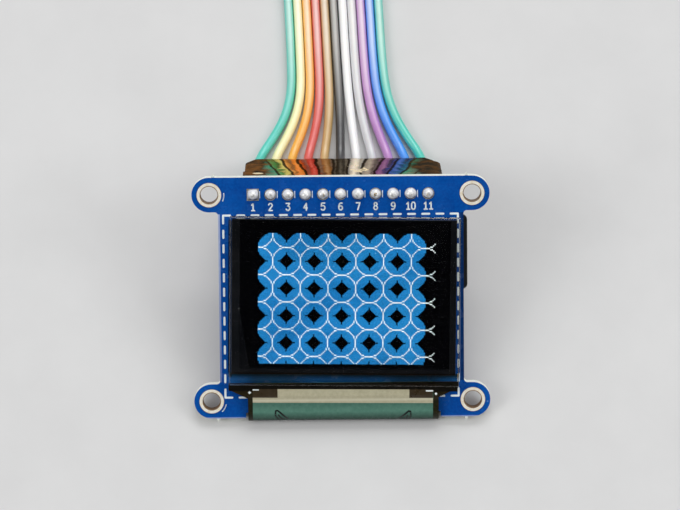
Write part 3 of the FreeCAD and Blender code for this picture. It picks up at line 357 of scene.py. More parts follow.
def moulded_plastic(name, colour, other, low=0.38, high=0.55, grain=7000.0, depth=0.006, radius=0.12):
    made = Finish(name)
    rounded, edges = made.edges(radius)
    # Paler along the edges
    pale_edged = blend(edges * 0.35, made.mottle(350.0, colour, other), (92, 92, 94))
    dusted = blend(made.specks(1500.0, 0.10, 0.10) * 0.35, pale_edged, (150, 148, 142))
    return made.surface(dusted, made.grain(grain, low, high), depth, 0.6, rounded)


def plain_metal(name, colour, other, low=0.18, high=0.36):
    made = Finish(name, Metallic=1.0)
    height, rough = made.grain(3500.0, low, high)
    scuffed = rough + made.scuffs(420.0, 0.14, (1.0, 10.0, 10.0)) * 0.2
    tint = made.mottle(700.0, colour, other)
    return made.surface(tint, (height, scuffed), 0.004, normal=made.edges(0.06)[0])


def hole_distance(across, up):
    """How far a place on the board is from the nearest mounting hole's centre."""
    return distance(abs(across) - HOLE_X, abs(up) - HOLE_Y)


def solder_mask():
    """Glossy blue mask over copper, pale glass fibre on the cut edges, brown in the holes."""
    made = Finish("solder_mask", Coat_Roughness=0.06)
    shown_across, shown_up = axes(on_board(made.place, DISPLAY), "XY")
    made.place = on_board(made.place)
    across, up = axes(made.place, "XY")
    edge = abs(agreement(made.normal(), OUTWARD)) < 0.6
    broad = made.mottle(260.0, (4, 70, 154), (8, 90, 180))
    colour = blend(0.35, broad, made.mottle(2600.0, (4, 62, 146), (12, 94, 186)))
    colour = blend(made.specks(900.0, 0.09, 0.16) * 0.5, colour, (120, 160, 205))
    # Painted shade and light round the display's glass: a painted shadow in the gap left of the lid,
    # painted shade on the board's right side, a painted highlight line along the glass's right side,
    # and the mask painted lighter under the glass ledge
    under_glass = abs(shown_across) < GLASS_HALF
    beside_lid = abs(shown_across) > GLASS_HALF - 0.6 * MM
    lid_height = abs(shown_up) < LID_REACH
    left_gap_shadow = under_glass * beside_lid * lid_height * (shown_across < 0.0)
    colour = blend(left_gap_shadow * 0.85, colour, (6, 14, 22))
    beside = abs(up) < SIDE_REACH
    colour = blend(span(across, 16.7 * MM, 17.5 * MM, 0.0, 0.62) * beside, colour, (16, 20, 30))
    glass_highlight = span(abs(across - GLASS_HIGHLIGHT), 0.05 * MM, 0.12 * MM, 1.0, 0.0)
    glass_highlight = glass_highlight * span(up, -12.0 * MM, 12.0 * MM, 0.15, 0.75) * lid_height
    colour = blend(glass_highlight, colour, (176, 190, 210))
    under_ledge = under_glass * (shown_up < LEDGE_DARK) * (shown_up > LEDGE_END)
    colour = blend(under_ledge * 0.3, colour, (56, 118, 186))
    # Pale cut lines along the left and lower sides: bare edge with a painted highlight on it,
    # brighter towards the top on the left side
    side_edge_and_highlight = span(across, 0.20 * MM - BOARD_HALF, 0.32 * MM - BOARD_HALF, 0.85, 0.0)
    side_edge_and_highlight = side_edge_and_highlight * beside * span(up, -12.0 * MM, 6.0 * MM, 0.3, 0.9)
    foot_edge_and_highlight = span(up, 0.10 * MM - BOARD_HALF, 0.18 * MM - BOARD_HALF, 0.5, 0.0)
    colour = blend(side_edge_and_highlight | foot_edge_and_highlight, colour, (196, 208, 240))
    # Bare fibre on the cut edges and on the broken stubs past the ears
    layers = make(
        made.tree, "TexWave", "Fac",
        {"Vector": made.place, "Scale": 900.0, "Distortion": 3.0, "Detail": 2.0}, bands_direction="Z")
    fibre = blend(layers, (226, 230, 220), (248, 250, 242))
    cut = blend(hole_distance(across, up) < HOLE_RADIUS * 1.1, fibre, (122, 92, 58))
    colour = blend(edge | (abs(up) > STUB_START), colour, cut)
    rough = span(edge, 0.0, 1.0, made.grain(4200.0, 0.16, 0.3)[1], 0.55)
    weave = noise(made.place, 1500.0, 2.0)
    return made.surface(colour, (weave, rough), 0.004, Coat_Weight=span(edge, 0.0, 1.0, 0.6, 0.0))


def ring_metal():
    """Tinned rings, cream where flux has dried, brown at the drilled edge, with a dark blue line of
    painted shade round each.
    """
    made = Finish("ring_metal", Metallic=0.12, Specular_IOR_Level=0.6)
    made.place = on_board(made.place)
    away = hole_distance(*axes(made.place, "XY"))
    tint = made.mottle(900.0, (252, 244, 222), (240, 224, 190))
    inner = span(away, HOLE_RADIUS * 1.04, HOLE_RADIUS * 1.12, 1.0, 0.0)
    # Painted shade: a dark blue line round the outside of each ring
    outer_shade = span(away, RING_SHOWN - 0.02 * MM, RING_SHOWN + 0.02 * MM)
    colour = blend(inner, made.mottle(2400.0, tint, (255, 252, 244)), (120, 88, 52))
    colour = blend(outer_shade, colour, (4, 44, 110))
    return made.surface(colour, made.grain(2600.0, 0.28, 0.45), 0.02, 0.8)


def solder(name, foot_shade_and_tip):
    """Bright solder. Joints drawn on the board have painted shade at their feet and on their lower
    sides, and a dull mark on top, where each pin ends."""
    made = Finish(name, Metallic=0.15, Specular_IOR_Level=0.8)
    across, up, out = axes(made.place)
    facing_up = axes(made.normal(), "Y")[0]
    # Painted shade round the foot of each joint and on its lower side
    rim = span(out, 0.06 * MM, 0.26 * MM, 0.8, 0.0)
    lower_side_shade = span(facing_up, -0.1, -0.75) * span(out, 0.3 * MM, 0.62 * MM, 1.0, 0.0)
    tint = made.mottle(1600.0, (254, 254, 252), (234, 234, 236))
    colour = blend((rim | lower_side_shade) * foot_shade_and_tip, tint, (40, 36, 38))
    aside = across - (across / PIN_PITCH).work("ROUND") * PIN_PITCH
    from_pin = distance(aside, up - (PIN_ROW - 0.1 * MM))
    ragged = span(noise(made.place, 1500.0), 0.42, 0.56)
    tip = span(from_pin, 0.22 * MM, 0.46 * MM, 0.6, 0.0) * ragged
    colour = blend(tip * foot_shade_and_tip, colour, (84, 78, 76))
    return made.surface(colour, made.grain(2400.0, 0.16, 0.34), 0.03, 0.8)


def oval_distance(across, out, spot):
    """Distance from an oval's middle, 1 at its rim."""
    (x, n), (half_x, half_n) = spot
    return distance((across - x * MM) / (half_x * MM), (out - n * MM) / (half_n * MM))


def reflected_wire_colour(phase):
    """The colour of the wire that lies nearest, counted in wires from the middle one, for the painted
    reflection in the film.
    """
    reach = PIN_COUNT / 2
    node = add(phase.tree, "ValToRGB", {"Fac": span(phase, -reach, reach)})
    ramp = node.color_ramp
    ramp.interpolation = "CONSTANT"
    for index, colour in enumerate(REFLECTED_WIRES):
        stop = ramp.elements[0] if index == 0 else ramp.elements.new(index / PIN_COUNT)
        stop.color = light_values(colour)
    ramp.elements.remove(ramp.elements[-1])
    return Value(node.outputs["Color"])


def amber_tape():
    """Glossy amber film. Seen at a low angle its colour is a painted reflection of the wires, with
    painted shade between them, and seen straight on it is a plain golden brown."""
    made = Finish("amber_tape", Specular_IOR_Level=0.0, Specular_Tint=(1.0, 0.87, 0.68, 1))
    across, out = axes(made.place, "XZ")
    facing = make(made.tree, "LayerWeight", "Facing", {"Blend": 0.5})
    straight = span(facing, 0.45, 0.78, 1.0, 0.0)
    # Painted reflection of the wires in the film, with painted shade between them
    ripple = (noise(made.place, 160.0) - 0.5) * 0.7
    pitch = span(out, MIRROR_REAR, MIRROR_FRONT, PIN_PITCH, PIN_PITCH * MIRROR_SHRINK)
    phase = across / pitch + ripple
    away = abs(phase - phase.work("ROUND"))
    between = span(away, 0.36, 0.44)
    uneven = (noise(made.place, 260.0) - 0.5) * (5.0 * MM)
    ends = span(abs(across) + uneven, 9.6 * MM, 11.4 * MM)
    painted_wire_reflection = blend(0.75, made.mottle(300.0, (52, 36, 22), (68, 48, 28)), reflected_wire_colour(phase))
    middle = blend(between, painted_wire_reflection, made.mottle(700.0, (16, 11, 7), (36, 24, 14)))
    layers = made.mottle(520.0, (16, 9, 4), (110, 68, 26), 0.12)
    stacked = blend(span(across, 8.0 * MM, 11.0 * MM, 0.0, 0.5), layers, (16, 12, 8))
    # The film itself, darker where it lies twice and over the ribs between the plugs
    waved = out + noise(made.place, 90.0) * (1.6 * MM)
    twice = span(waved, TAPE_LAP - 0.05 * MM, TAPE_LAP + 0.05 * MM, 0.4, 0.0)
    ribbed = span(away, 0.3, 0.5) * 0.35
    film = blend(twice | ribbed, made.mottle(150.0, (134, 76, 18), (158, 96, 28)), (70, 34, 6))
    colour = blend(ends, blend(straight, middle, film), blend(straight * 0.6, stacked, film))
    # Painted highlights: a ragged pale crease and a glint
    crumple = noise(made.place, 900.0) - 0.5
    rim = abs(oval_distance(across + crumple * (3.0 * MM), out + crumple * (7.0 * MM), CREASE_HIGHLIGHT) - 0.7)
    crease_highlight = span(rim, 0.34, 0.14) * span(noise(made.place, 500.0), 0.44, 0.52)
    glint = span(oval_distance(across, out, GLINT), 1.0, 0.7)
    pale = (crease_highlight | glint) * (1.0 - straight)
    colour = blend(pale, colour, (232, 214, 178))
    colour = blend(made.specks(1400.0, 0.08, 0.12) * 0.5, colour, (190, 176, 150))
    mirror = span(between | ends, 0.0, 1.0, 0.95, 0.12) * (1.0 - pale)
    mirror = mirror * span(straight, 0.0, 1.0, 1.0, 0.45)
    return made.surface(
        colour, made.grain(1800.0, 0.05, 0.12), 0.03, 0.3, Metallic=mirror, Coat_Weight=straight)


def dark_glass():
    """The rear glass: black behind the film, dark grey at its margins."""
    made = Finish("dark_glass", Specular_IOR_Level=0.3)
    across, up = axes(on_board(made.place, DISPLAY), "XY")
    left = across - (BLACK_MIDDLE.x - BLACK_HALF.x) + ((up - SLANT_FROM) & 0.0) * SLANT_SHARE
    right = BLACK_MIDDLE.x + BLACK_HALF.x - across
    above = BLACK_MIDDLE.y + BLACK_HALF.y - up
    below = up - (BLACK_MIDDLE.y - BLACK_HALF.y)
    black = span((left & right) & (above & below), -0.05 * MM, 0.05 * MM)
    rounded, edges = made.edges(0.1)
    # Paler along the edges
    pale_edged = blend(edges * 0.6, made.mottle(300.0, (22, 23, 27), (30, 30, 34)), (120, 120, 126))
    # Painted highlight: a grey line along the lid's left edge
    lined = blend(across < LID_HIGHLIGHT_EDGE, pale_edged, (58, 66, 72))
    colour = blend(black, lined, (3, 3, 4))
    return made.surface(colour, made.grain(2600.0, 0.12, 0.22), 0.002, 0.5, rounded)


def clear_glass():
    """The front glass, its bare ledge darkened by painted shade that is deepest near the lid.
    Shadow rays pass straight through it, with a little colour."""
    made = Finish("clear_glass", Transmission_Weight=1.0, IOR=1.5, Specular_IOR_Level=0.4)
    across, up = axes(on_board(made.place, DISPLAY), "XY")
    ledge = up < LEDGE_SHADE
    # Painted shade on the bare ledge, deepest next to the lid
    lined = span(up, LEDGE_CLEAR, LEDGE_DARK) * ledge
    side = abs(across)
    beside = span(side, 5.5 * MM, 8.0 * MM) * span(side, 14.4 * MM, 13.2 * MM)
    bare = blend(beside * 0.65, (1.0, 0.98, 0.82, 1), (0.98, 0.58, 0.34, 1))
    colour = blend(ledge, (248, 246, 240), bare)
    colour = blend(lined, colour, (0.5, 0.3, 0.14, 1))
    colour = blend(made.edges(0.08)[1] * 0.4, colour, (170, 190, 186))
    marks = made.specks(800.0, 0.06, 0.12) | (made.scuffs(240.0, 0.1) * 0.3)
    made.link(Base_Color=colour, Roughness=span(marks, 0.0, 1.0, 0.02, 0.35))
    passing = make(made.tree, "BsdfTransparent", "BSDF", {"Color": (0.58, 0.66, 0.68, 1)})
    light = make(made.tree, "LightPath", "Is Shadow Ray")
    both = make(made.tree, "MixShader", 0, {0: light, 1: Value(made.shader.outputs["BSDF"]), 2: passing})
    made.tree.links.new(both.socket, made.tree.nodes["Material Output"].inputs["Surface"])
    return made.material


def dark_film():
    """The polarising film: a dark glossy sheet that the lit picture shines through."""
    made = Finish("dark_film", Alpha=0.2, Specular_IOR_Level=0.25)
    tint = made.mottle(200.0, (3, 3, 6), (7, 7, 11))
    colour = blend(made.specks(700.0, 0.05, 0.08) * 0.5, tint, (130, 130, 140))
    return made.link(Base_Color=colour, Roughness=span(made.scuffs(180.0, 0.1), 0.0, 1.0, 0.08, 0.22))


def lit_layer(name, colour, other, strength, base):
    """Picture elements: light in a square grid with dark gaps between the elements."""
    made = Finish(name, Emission_Strength=strength, Roughness=0.4, Base_Color=light_values(base))
    made.place = on_board(made.place, DISPLAY)
    grid = make(made.tree, "VectorMath", 0, {0: made.place, 1: LIT_LOW}, operation="SUBTRACT")
    cells = make(made.tree, "VectorMath", 0, {0: grid, "Scale": 1 / DOT_PITCH}, operation="SCALE")
    column, line = axes(make(made.tree, "VectorMath", 0, {0: cells}, operation="FRACTION"), "XY")
    gap = (column > 0.9) | (line > 0.9)
    light = blend(gap * 0.45, made.mottle(160.0, colour, other), (0, 0, 0, 1))
    return made.link(Emission_Color=light, Roughness=span(gap, 0.0, 1.0, 0.3, 0.5))


def flex_film():
    """The flexible tail: green cover, amber film at its cut edges and on the back, the amber at the cut
    edges darkened with painted shade.
    """
    made = Finish("flex_film", Coat_Roughness=0.12, Specular_IOR_Level=0.2, Coat_Weight=0.08)
    made.place = on_board(made.place)
    across, out = axes(made.place, "XZ")
    traced = span((across * (2 * math.pi / (0.7 * MM))).work("SINE"), -0.2, 0.5)
    lined = blend(traced * 0.10, made.mottle(420.0, (60, 112, 92), (80, 134, 112)), (150, 172, 120))
    # Amber film at the front's cut edges, darkened with painted shade from the glass
    amber = made.mottle(600.0, (26, 24, 12), (48, 38, 18))
    front = blend(abs(across - 0.15 * MM) > 13.1 * MM, lined, amber)
    back = blend(traced * 0.5, (150, 96, 34), (196, 140, 60))
    height, rough = made.grain(2600.0, 0.25, 0.4)
    return made.surface(
        blend(out < -0.9 * MM, front, back), (traced * 0.5 + height, rough), 0.01, 0.6)


def insulation(name, colour, other):
    """Soft wire insulation: waxy and dusty, with a painted highlight on top where the wires lie flat."""
    made = Finish(
        name, Coat_Weight=0.9, Coat_Roughness=0.4, Coat_IOR=1.8,
        Subsurface_Weight=0.08, Subsurface_Scale=0.0004)
    back = axes(made.place, "Y")[0]
    upward = axes(made.normal(), "Z")[0]
    # Painted highlight on the tops of the wires towards the back, where they lie flat
    painted_top_highlight = span(upward, 0.5, 0.95) * span(back, 27 * MM, 42 * MM, 0.0, 0.42)
    top_highlighted = blend(painted_top_highlight, made.mottle(300.0, colour, other), (255, 252, 244))
    dusted = blend(made.specks(1300.0, 0.07, 0.10) * 0.3, top_highlighted, (200, 198, 190))
    return made.surface(dusted, made.grain(3000.0, 0.34, 0.48), 0.008)


def painted_bend_shade(tint, up):
    """Painted shade: the tail's green cover is darker where it bends away round the board's edge, and a
    little darker just above the bend.
    """
    bend_shade = span(up, TAIL_DARK, TAIL_PALE, 0.95, 0.0)
    upper_shade = span(up, TAIL_PALE, TAIL_PALE + 1.1 * MM, 0.0, 0.25)
    return blend(bend_shade | upper_shade, tint, (8, 18, 16))


def painted_crest_highlight(tint, up):
    """Painted highlight: the tail's cream field is a little paler along the crest of its bend."""
    return blend(span(abs(up - CREST_HIGHLIGHT), 0.05 * MM, 0.3 * MM, 0.7, 0.0), tint, (216, 212, 186))


def printed(name, colour, other, low=0.4, high=0.6, metal=0.0, shine=0.5, shaded=None):
    """Ink and flat fields on the board and the tail."""
    made = Finish(name, Metallic=metal, Specular_IOR_Level=shine)
    tint = made.mottle(1800.0, colour, other)
    if shaded:
        tint = shaded(tint, axes(on_board(made.place), "Y")[0])
    return made.surface(tint, made.grain(5000.0, low, high), 0.004)


# Each finish with its two shades and, where they aren't the usual ones, its other values
PLASTICS = {
    "header_plastic": ((18, 18, 20), (27, 27, 29)),
    "housing_plastic": ((22, 22, 24), (32, 32, 34), 0.4, 0.58),
    "adhesive_foam": ((34, 34, 36), (52, 52, 54), 0.8, 0.95, 3200.0, 0.03, 0.05),
    "bare_chip": ((40, 42, 50), (58, 60, 70), 0.08, 0.16, 9000.0, 0.001, 0.03),
    "card_plastic": ((8, 8, 11), (14, 14, 17), 0.3, 0.45),
    "chip_plastic": ((30, 30, 32), (42, 42, 44), 0.5, 0.65, 8000.0, 0.01),
    "ferrite": ((46, 46, 50), (62, 62, 66), 0.5, 0.7, 4200.0, 0.012),
    "tan_ceramic": ((164, 126, 88), (186, 148, 104), 0.3, 0.42, 5000.0, 0.006, 0.08),
    "resistor_glaze": ((14, 14, 16), (22, 22, 25), 0.15, 0.25),
}
METALS = {
    "pin_metal": ((236, 204, 128), (222, 184, 104)),
    "crimp_metal": ((212, 206, 194), (190, 182, 166)),
    "sheet_metal": ((206, 206, 206), (186, 186, 188)),
    "lead_metal": ((214, 214, 216), (194, 194, 198), 0.2, 0.35),
}
PRINTS = {
    "pad_metal": ((214, 206, 184), (232, 228, 214), 0.25, 0.4, 0.85),
    "white_ink": ((240, 252, 255), (248, 255, 255)),
    "cream_field": ((180, 174, 146), (192, 186, 158), 0.3, 0.45, 0.0, 0.3, painted_crest_highlight),
    "brown_field": ((50, 40, 24), (62, 50, 32), 0.25, 0.4),
    "black_field": ((12, 10, 6), (20, 17, 12), 0.25, 0.4, 0.0, 0.15),
    "olive_border": ((22, 26, 12), (40, 36, 18), 0.25, 0.4, 0.0, 0.2),
    "green_cover": ((84, 128, 112), (94, 138, 122), 0.2, 0.34, 0.0, 0.15, painted_bend_shade),
    "dark_line": ((3, 14, 12), (6, 22, 18), 0.3, 0.45),
    "trace_mask": ((16, 92, 190), (22, 100, 200), 0.16, 0.3),
}
WIRES = {
    "wire_01_teal": ((52, 200, 182), (64, 208, 192)),
    "wire_02_cream": ((252, 244, 178), (255, 250, 192)),
    "wire_03_orange": ((250, 172, 44), (252, 184, 58)),
    "wire_04_red": ((218, 76, 70), (226, 88, 82)),
    "wire_05_tan": ((198, 160, 98), (208, 170, 108)),
    "wire_06_black": ((24, 24, 27), (34, 34, 38)),
    "wire_07_white": ((244, 244, 246), (250, 250, 250)),
    "wire_08_grey": ((206, 206, 210), (214, 214, 217)),
    "wire_09_violet": ((186, 126, 196), (196, 140, 206)),
    "wire_10_blue": ((38, 138, 240), (52, 150, 248)),
    "wire_11_teal": ((46, 198, 178), (60, 208, 190)),
}
FINISHES = {
    "solder_mask": solder_mask(),
    "ring_metal": ring_metal(),
    "solder": solder("bright_solder", 0.0),
    "solder_domes": solder("bright_solder_domes", 0.92),
    "amber_tape": amber_tape(),
    "dark_glass": dark_glass(),
    "clear_glass": clear_glass(),
    "dark_film": dark_film(),
    "lit_blue": lit_layer("lit_blue", (24, 124, 200), (34, 140, 214), 1.7, (10, 40, 70)),
    "lit_white": lit_layer("lit_white", (216, 238, 250), (240, 250, 255), 2.2, (60, 70, 80)),
    "flex_film": flex_film(),
}
for kind, table in ((moulded_plastic, PLASTICS), (plain_metal, METALS), (printed, PRINTS)):
    for finish_name, values in table.items():
        FINISHES[finish_name] = kind(finish_name, *values)
for finish_name, shades in WIRES.items():
    FINISHES[finish_name] = insulation(finish_name + "_insulation", *shades)

# The CAD nodes that each finish goes on
NODES = {
    "solder_mask": "circuit_board",
    "ring_metal": "hole_rings",
    "pad_metal": "pin_pads",
    "header_plastic": "header_strip sd_bed",
    "housing_plastic": "jumper_sockets",
    "pin_metal": "header_pins sd_contacts plug_pins",
    "crimp_metal": "jumper_crimps",
    "amber_tape": "wrap_tape",
    "adhesive_foam": "foam_tape",
    "dark_glass": "lid_glass",
    "clear_glass": "display_glass",
    "dark_film": "polariser",
    "lit_blue": "lit_discs",
    "lit_white": "lit_rings",
    "flex_film": "display_flex",
    "bare_chip": "driver_chip",
    "solder": "flex_joints solder_joints",
    "sheet_metal": "sd_shell",
    "card_plastic": "memory_card",
    "chip_plastic": "level_shifter regulator boost_converter diode",
    "lead_metal": "level_shifter_leads regulator_leads boost_leads chip_ends",
    "ferrite": "inductor",
    "tan_ceramic": "capacitors",
    "resistor_glaze": "resistors",
}
PLUGS = [f"plug_{index + 1:02d}" for index in range(PIN_COUNT)]
for finish_name, nodes in NODES.items():
    for node in nodes.split() + (PLUGS if finish_name == "housing_plastic" else []):
        materials = bpy.data.objects[node].data.materials
        materials.clear()
        materials.append(FINISHES[finish_name])


# Pieces

def pin_place(index):
    """How far across the board a pin stands, in metres."""
    return (index - (PIN_COUNT - 1) / 2) * PIN_PITCH


def new_piece(name, data, finish, matrix=None):
    """Link a mesh or curve as a piece on the one body, with its finish."""
    thing = bpy.data.objects.new(name, data)
    bpy.context.scene.collection.objects.link(thing)
    if matrix is not None:
        thing.matrix_world = matrix
    data.materials.append(FINISHES[finish])
    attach(thing, "root")
    return thing


def mesh_of(name, drawn, smooth=False):
    mesh = bpy.data.meshes.new(name)
    for face in drawn.faces:
        face.smooth = smooth
    drawn.to_mesh(mesh)
    drawn.free()
    return mesh


def join(drawn, first, second):
    """Faces between two closed rings of corners."""
    for index in range(len(first)):
        after = (index + 1) % len(first)
        drawn.faces.new([first[index], first[after], second[after], second[index]])


# Wires

# The ribbon's route, row by row from the plugged end to the free end, in millimetres:
# how far back, how high, the ribbon's middle and the spacing of its wires there
RIBBON_ROWS = [
    (16.65, 5.91, 0.00, 2.540),
    (18.77, 2.64, 0.00, 2.540),
    (22.40, 0.67, 0.03, 2.400),
    (25.80, 0.67, 0.05, 1.965),
    (29.40, 0.67, 0.02, 1.610),
    (33.50, 0.67, -0.14, 1.410),
    (39.50, 0.67, -0.46, 1.368),
    (47.50, 0.67, -0.80, 1.366),
    (61.00, 0.67, -1.55, 1.366),
    (77.00, 0.67, -2.80, 1.366),
    (90.00, 0.67, -4.00, 1.440),
    (99.00, 0.70, -4.60, 1.950),
    (105.50, 0.95, -4.75, 2.650),
    (110.00, 1.25, -4.70, 3.060),
    (113.90, 1.25, -4.62, 3.200),
]
# Free plugs: how much further each wire goes along its last run, in millimetres
PLUG_SHIFTS = [0.0, 0.9, -0.5, 0.5, -0.9, 0.2, 0.8, -0.3, 0.6, -0.6, 0.3]


def wire_points(index):
    """The route of one wire in metres, its last point moved along its heading."""
    place = index - (PIN_COUNT - 1) / 2
    points = []
    for back, up, middle, spacing in RIBBON_ROWS:
        points.append(Vector((middle + place * spacing, back, up)) * MM)
    heading = (points[-1] - points[-2]).normalized()
    points[-1] += heading * PLUG_SHIFTS[index] * MM
    return points


def wire(index, name):
    """One jumper wire on its smooth route, in place of the CAD wire."""
    curve = bpy.data.curves.new(name + "_line", "CURVE")
    curve.dimensions = "3D"
    curve.bevel_depth = WIRE_WIDTH / 2
    curve.bevel_resolution = 5
    curve.resolution_u = 14
    curve.use_fill_caps = True
    points = wire_points(index)
    spline = curve.splines.new("NURBS")
    spline.points.add(len(points) - 1)
    for point, place in zip(spline.points, points):
        point.co = (*place, 1)
    spline.order_u = 3
    spline.use_endpoint_u = True
    spline.use_smooth = True
    made = new_piece(name.replace("wire", "ribbon_wire"), curve, name)
    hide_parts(name)


for wire_index, wire_name in enumerate(WIRES):
    wire(wire_index, wire_name)


# Print on the board

INK_HEIGHT = 0.014 * MM
INK_WIDTH = 0.30 * MM
INK_STEP = 0.00002 * MM


def on_flat(x, y, lift):
    """A place on a flat face, in metres."""
    return Vector((x, y, lift))


class Print:
    """Thin strokes and fields, each a hair higher than the last so that none flicker."""

    def __init__(self, place=on_flat, base=0.0):
        self.drawn = bmesh.new()
        self.place = place
        self.base = base
        self.level = INK_HEIGHT

    def corners(self, points, lift):
        return [self.drawn.verts.new(self.place(x, y, self.base + lift)) for x, y in points]

    def outline(self, points):
        """A closed flat shape with a low wall round it."""
        ring = self.corners(points, self.level)
        foot = self.corners(points, 0.0)
        self.drawn.faces.new(ring)
        join(self.drawn, foot, ring)
        self.level += INK_STEP

    def stroke(self, start, end, width=INK_WIDTH, steps=4):
        """A stroke with round ends, from start to end in millimetres."""
        start = Vector(start) * MM
        end = Vector(end) * MM
        run = end - start
        heading = math.atan2(run.y, run.x)
        points = []
        for centre, turn in ((end, -math.pi / 2), (start, math.pi / 2)):
            for step in range(steps + 1):
                angle = heading + turn + math.pi * step / steps
                points.append(centre + Vector((math.cos(angle), math.sin(angle))) * width / 2)
        self.outline(points)

    def line(self, points, width=INK_WIDTH, longest=None):
        """Strokes through the points, cut into short ones where the face is curved."""
        for start, end in zip(points, points[1:]):
            start = Vector(start)
            end = Vector(end)
            parts = math.ceil((end - start).length / longest) if longest else 1
            for part in range(parts):
                self.stroke(start.lerp(end, part / parts), start.lerp(end, (part + 1) / parts), width)

    def arc(self, centre, radius, first, last, width=INK_WIDTH, steps=10):
        points = []
        for step in range(steps + 1):
            angle = math.radians(first + (last - first) * step / steps)
            points.append((centre[0] + radius * math.cos(angle), centre[1] + radius * math.sin(angle)))
        self.line(points, width)

    def area(self, left, right, rows):
        """A printed field between two sides, in millimetres; each row has its place at both."""
        strips = []
        for at_left, at_right in rows:
            ends = ((left * MM, at_left * MM), (right * MM, at_right * MM))
            foot = self.corners(ends, 0.0)
            top = self.corners(ends, self.level)
            strips.append([foot[0], top[0], top[1], foot[1]])
        for strip, after in zip(strips, strips[1:]):
            for side in range(3):
                corners = [strip[side], strip[side + 1], after[side + 1], after[side]]
                self.drawn.faces.new(corners)
        self.drawn.faces.new(strips[0])
        self.drawn.faces.new(strips[-1])
        self.level += INK_STEP

    def finish(self, name, finish, slot, matrix):
        bmesh.ops.recalc_face_normals(self.drawn, faces=self.drawn.faces)
        self.drawn.transform(matrix)
        return new_piece(name, mesh_of(name, self.drawn), finish)


# Digits as strokes on a grid 2 wide and 4 high
DIGITS = {
    "0": [[(0, 1), (0, 3), (0.5, 4), (1.5, 4), (2, 3), (2, 1), (1.5, 0), (0.5, 0), (0, 1)]],
    "1": [[(0.3, 3.1), (1.1, 4), (1.1, 0)], [(0.3, 0), (1.9, 0)]],
    "2": [[(0, 3.2), (0.5, 4), (1.5, 4), (2, 3.2), (2, 2.6), (0, 0), (2, 0)]],
    "3": [[(0, 4), (2, 4), (0.9, 2.4), (1.6, 2.3), (2, 1.6), (2, 0.8), (1.4, 0), (0.5, 0),
           (0, 0.7)]],
    "4": [[(1.5, 0), (1.5, 4), (0, 1.3), (2, 1.3)]],
    "5": [[(1.9, 4), (0.2, 4), (0, 2.2), (0.6, 2.5), (1.4, 2.5), (2, 1.9), (2, 0.7), (1.4, 0),
           (0.4, 0), (0, 0.5)]],
    "6": [[(1.8, 3.8), (1.2, 4), (0.5, 3.6), (0, 2.4), (0, 0.8), (0.6, 0), (1.4, 0), (2, 0.7), (2, 1.6),
           (1.4, 2.3), (0.6, 2.3), (0, 1.6)]],
    "7": [[(0, 4), (2, 4), (0.8, 0)]],
    "8": [[(0.6, 2.2), (0.1, 3), (0.6, 4), (1.4, 4), (1.9, 3), (1.4, 2.2), (0.6, 2.2), (0, 1.3),
           (0, 0.7), (0.6, 0), (1.4, 0), (2, 0.7), (2, 1.3), (1.4, 2.2)]],
    "9": [[(0.2, 0.2), (0.8, 0), (1.5, 0.4), (2, 1.6), (2, 3.2), (1.4, 4), (0.6, 4), (0, 3.3), (0, 2.4),
           (0.6, 1.7), (1.4, 1.7), (2, 2.4)]],
}


def draw_number(ink, index, sign, row):
    """Write a pin's number in strokes. The sign is 1 on the face and -1 on the back."""
    unit = LABEL_HEIGHT / 4
    text = str(index + 1)
    start = sign * pin_place(index) / MM - (3 * len(text) - 1) * unit / 2
    for place, digit in enumerate(text):
        left = start + 3 * place * unit
        for path in DIGITS[digit]:
            points = [(left + x * unit, row - LABEL_HEIGHT / 2 + y * unit) for x, y in path]
            ink.line(points, DIGIT_WIDTH)


# The dashed frame round the display, in millimetres on the board
FRAME_LEFT = -17.04
FRAME_RIGHT = 16.98
FRAME_TOP = 12.22
FRAME_FOOT = -14.7
DASH_LENGTH = 1.0
DASH_LENGTH_UP = 1.06
CORNER_REACH = 0.5
DASH_PITCH_ACROSS = 2.062
DASH_PITCH_UP = 2.134
ARC_RADIUS = 2.16
ARC_WIDTH = 0.14 * MM
# The side dashes start this much below the frame's corners
SIDE_DROPS = ((FRAME_LEFT, 0.09), (FRAME_RIGHT, 0.2))
# The pins' numbers, on the face and on the back, and the ticks between them
LABEL_ROW = 13.42
BACK_LABEL_ROW = 12.4
LABEL_HEIGHT = 1.02
DIGIT_WIDTH = 0.2 * MM
TICK_ASIDE = 1.0
TICK_ROWS = (14.75, 15.7)
TICK_WIDTH = 0.1 * MM


def dashes(ink, first, last, pitch, length, place):
    """Dashes along one side of the frame; the last one ends at its corner."""
    run = last - first
    way = math.copysign(1, run)
    for step in range(int(abs(run) / pitch) + 1):
        start = first + way * step * pitch
        end = start + way * length
        if way * (last - end) < CORNER_REACH:
            end = last
        ink.stroke(place(start), place(end))


def board_print():
    """White print on the face: dashed frame, short arcs by two holes, pin numbers."""
    ink = Print()
    for row in (FRAME_TOP, FRAME_FOOT):
        dashes(
            ink, FRAME_LEFT, FRAME_RIGHT, DASH_PITCH_ACROSS, DASH_LENGTH,
            lambda along: (along, row))
    for column, drop in SIDE_DROPS:
        dashes(
            ink, FRAME_TOP, FRAME_FOOT + drop, DASH_PITCH_UP, DASH_LENGTH_UP,
            lambda along: (column, along - drop))
    for end, first, last in ((1, -24, 6), (-1, -44, -14)):
        ink.arc((-HOLE_X / MM, end * HOLE_Y / MM), ARC_RADIUS, first, last, ARC_WIDTH)
    for index in range(PIN_COUNT):
        draw_number(ink, index, 1, LABEL_ROW)
        if index < PIN_COUNT - 1:
            tick = pin_place(index) / MM + TICK_ASIDE
            ink.stroke((tick, TICK_ROWS[0]), (tick, TICK_ROWS[1]), TICK_WIDTH)
    ink.finish("board_print", "white_ink", "solder_mask", BOARD)


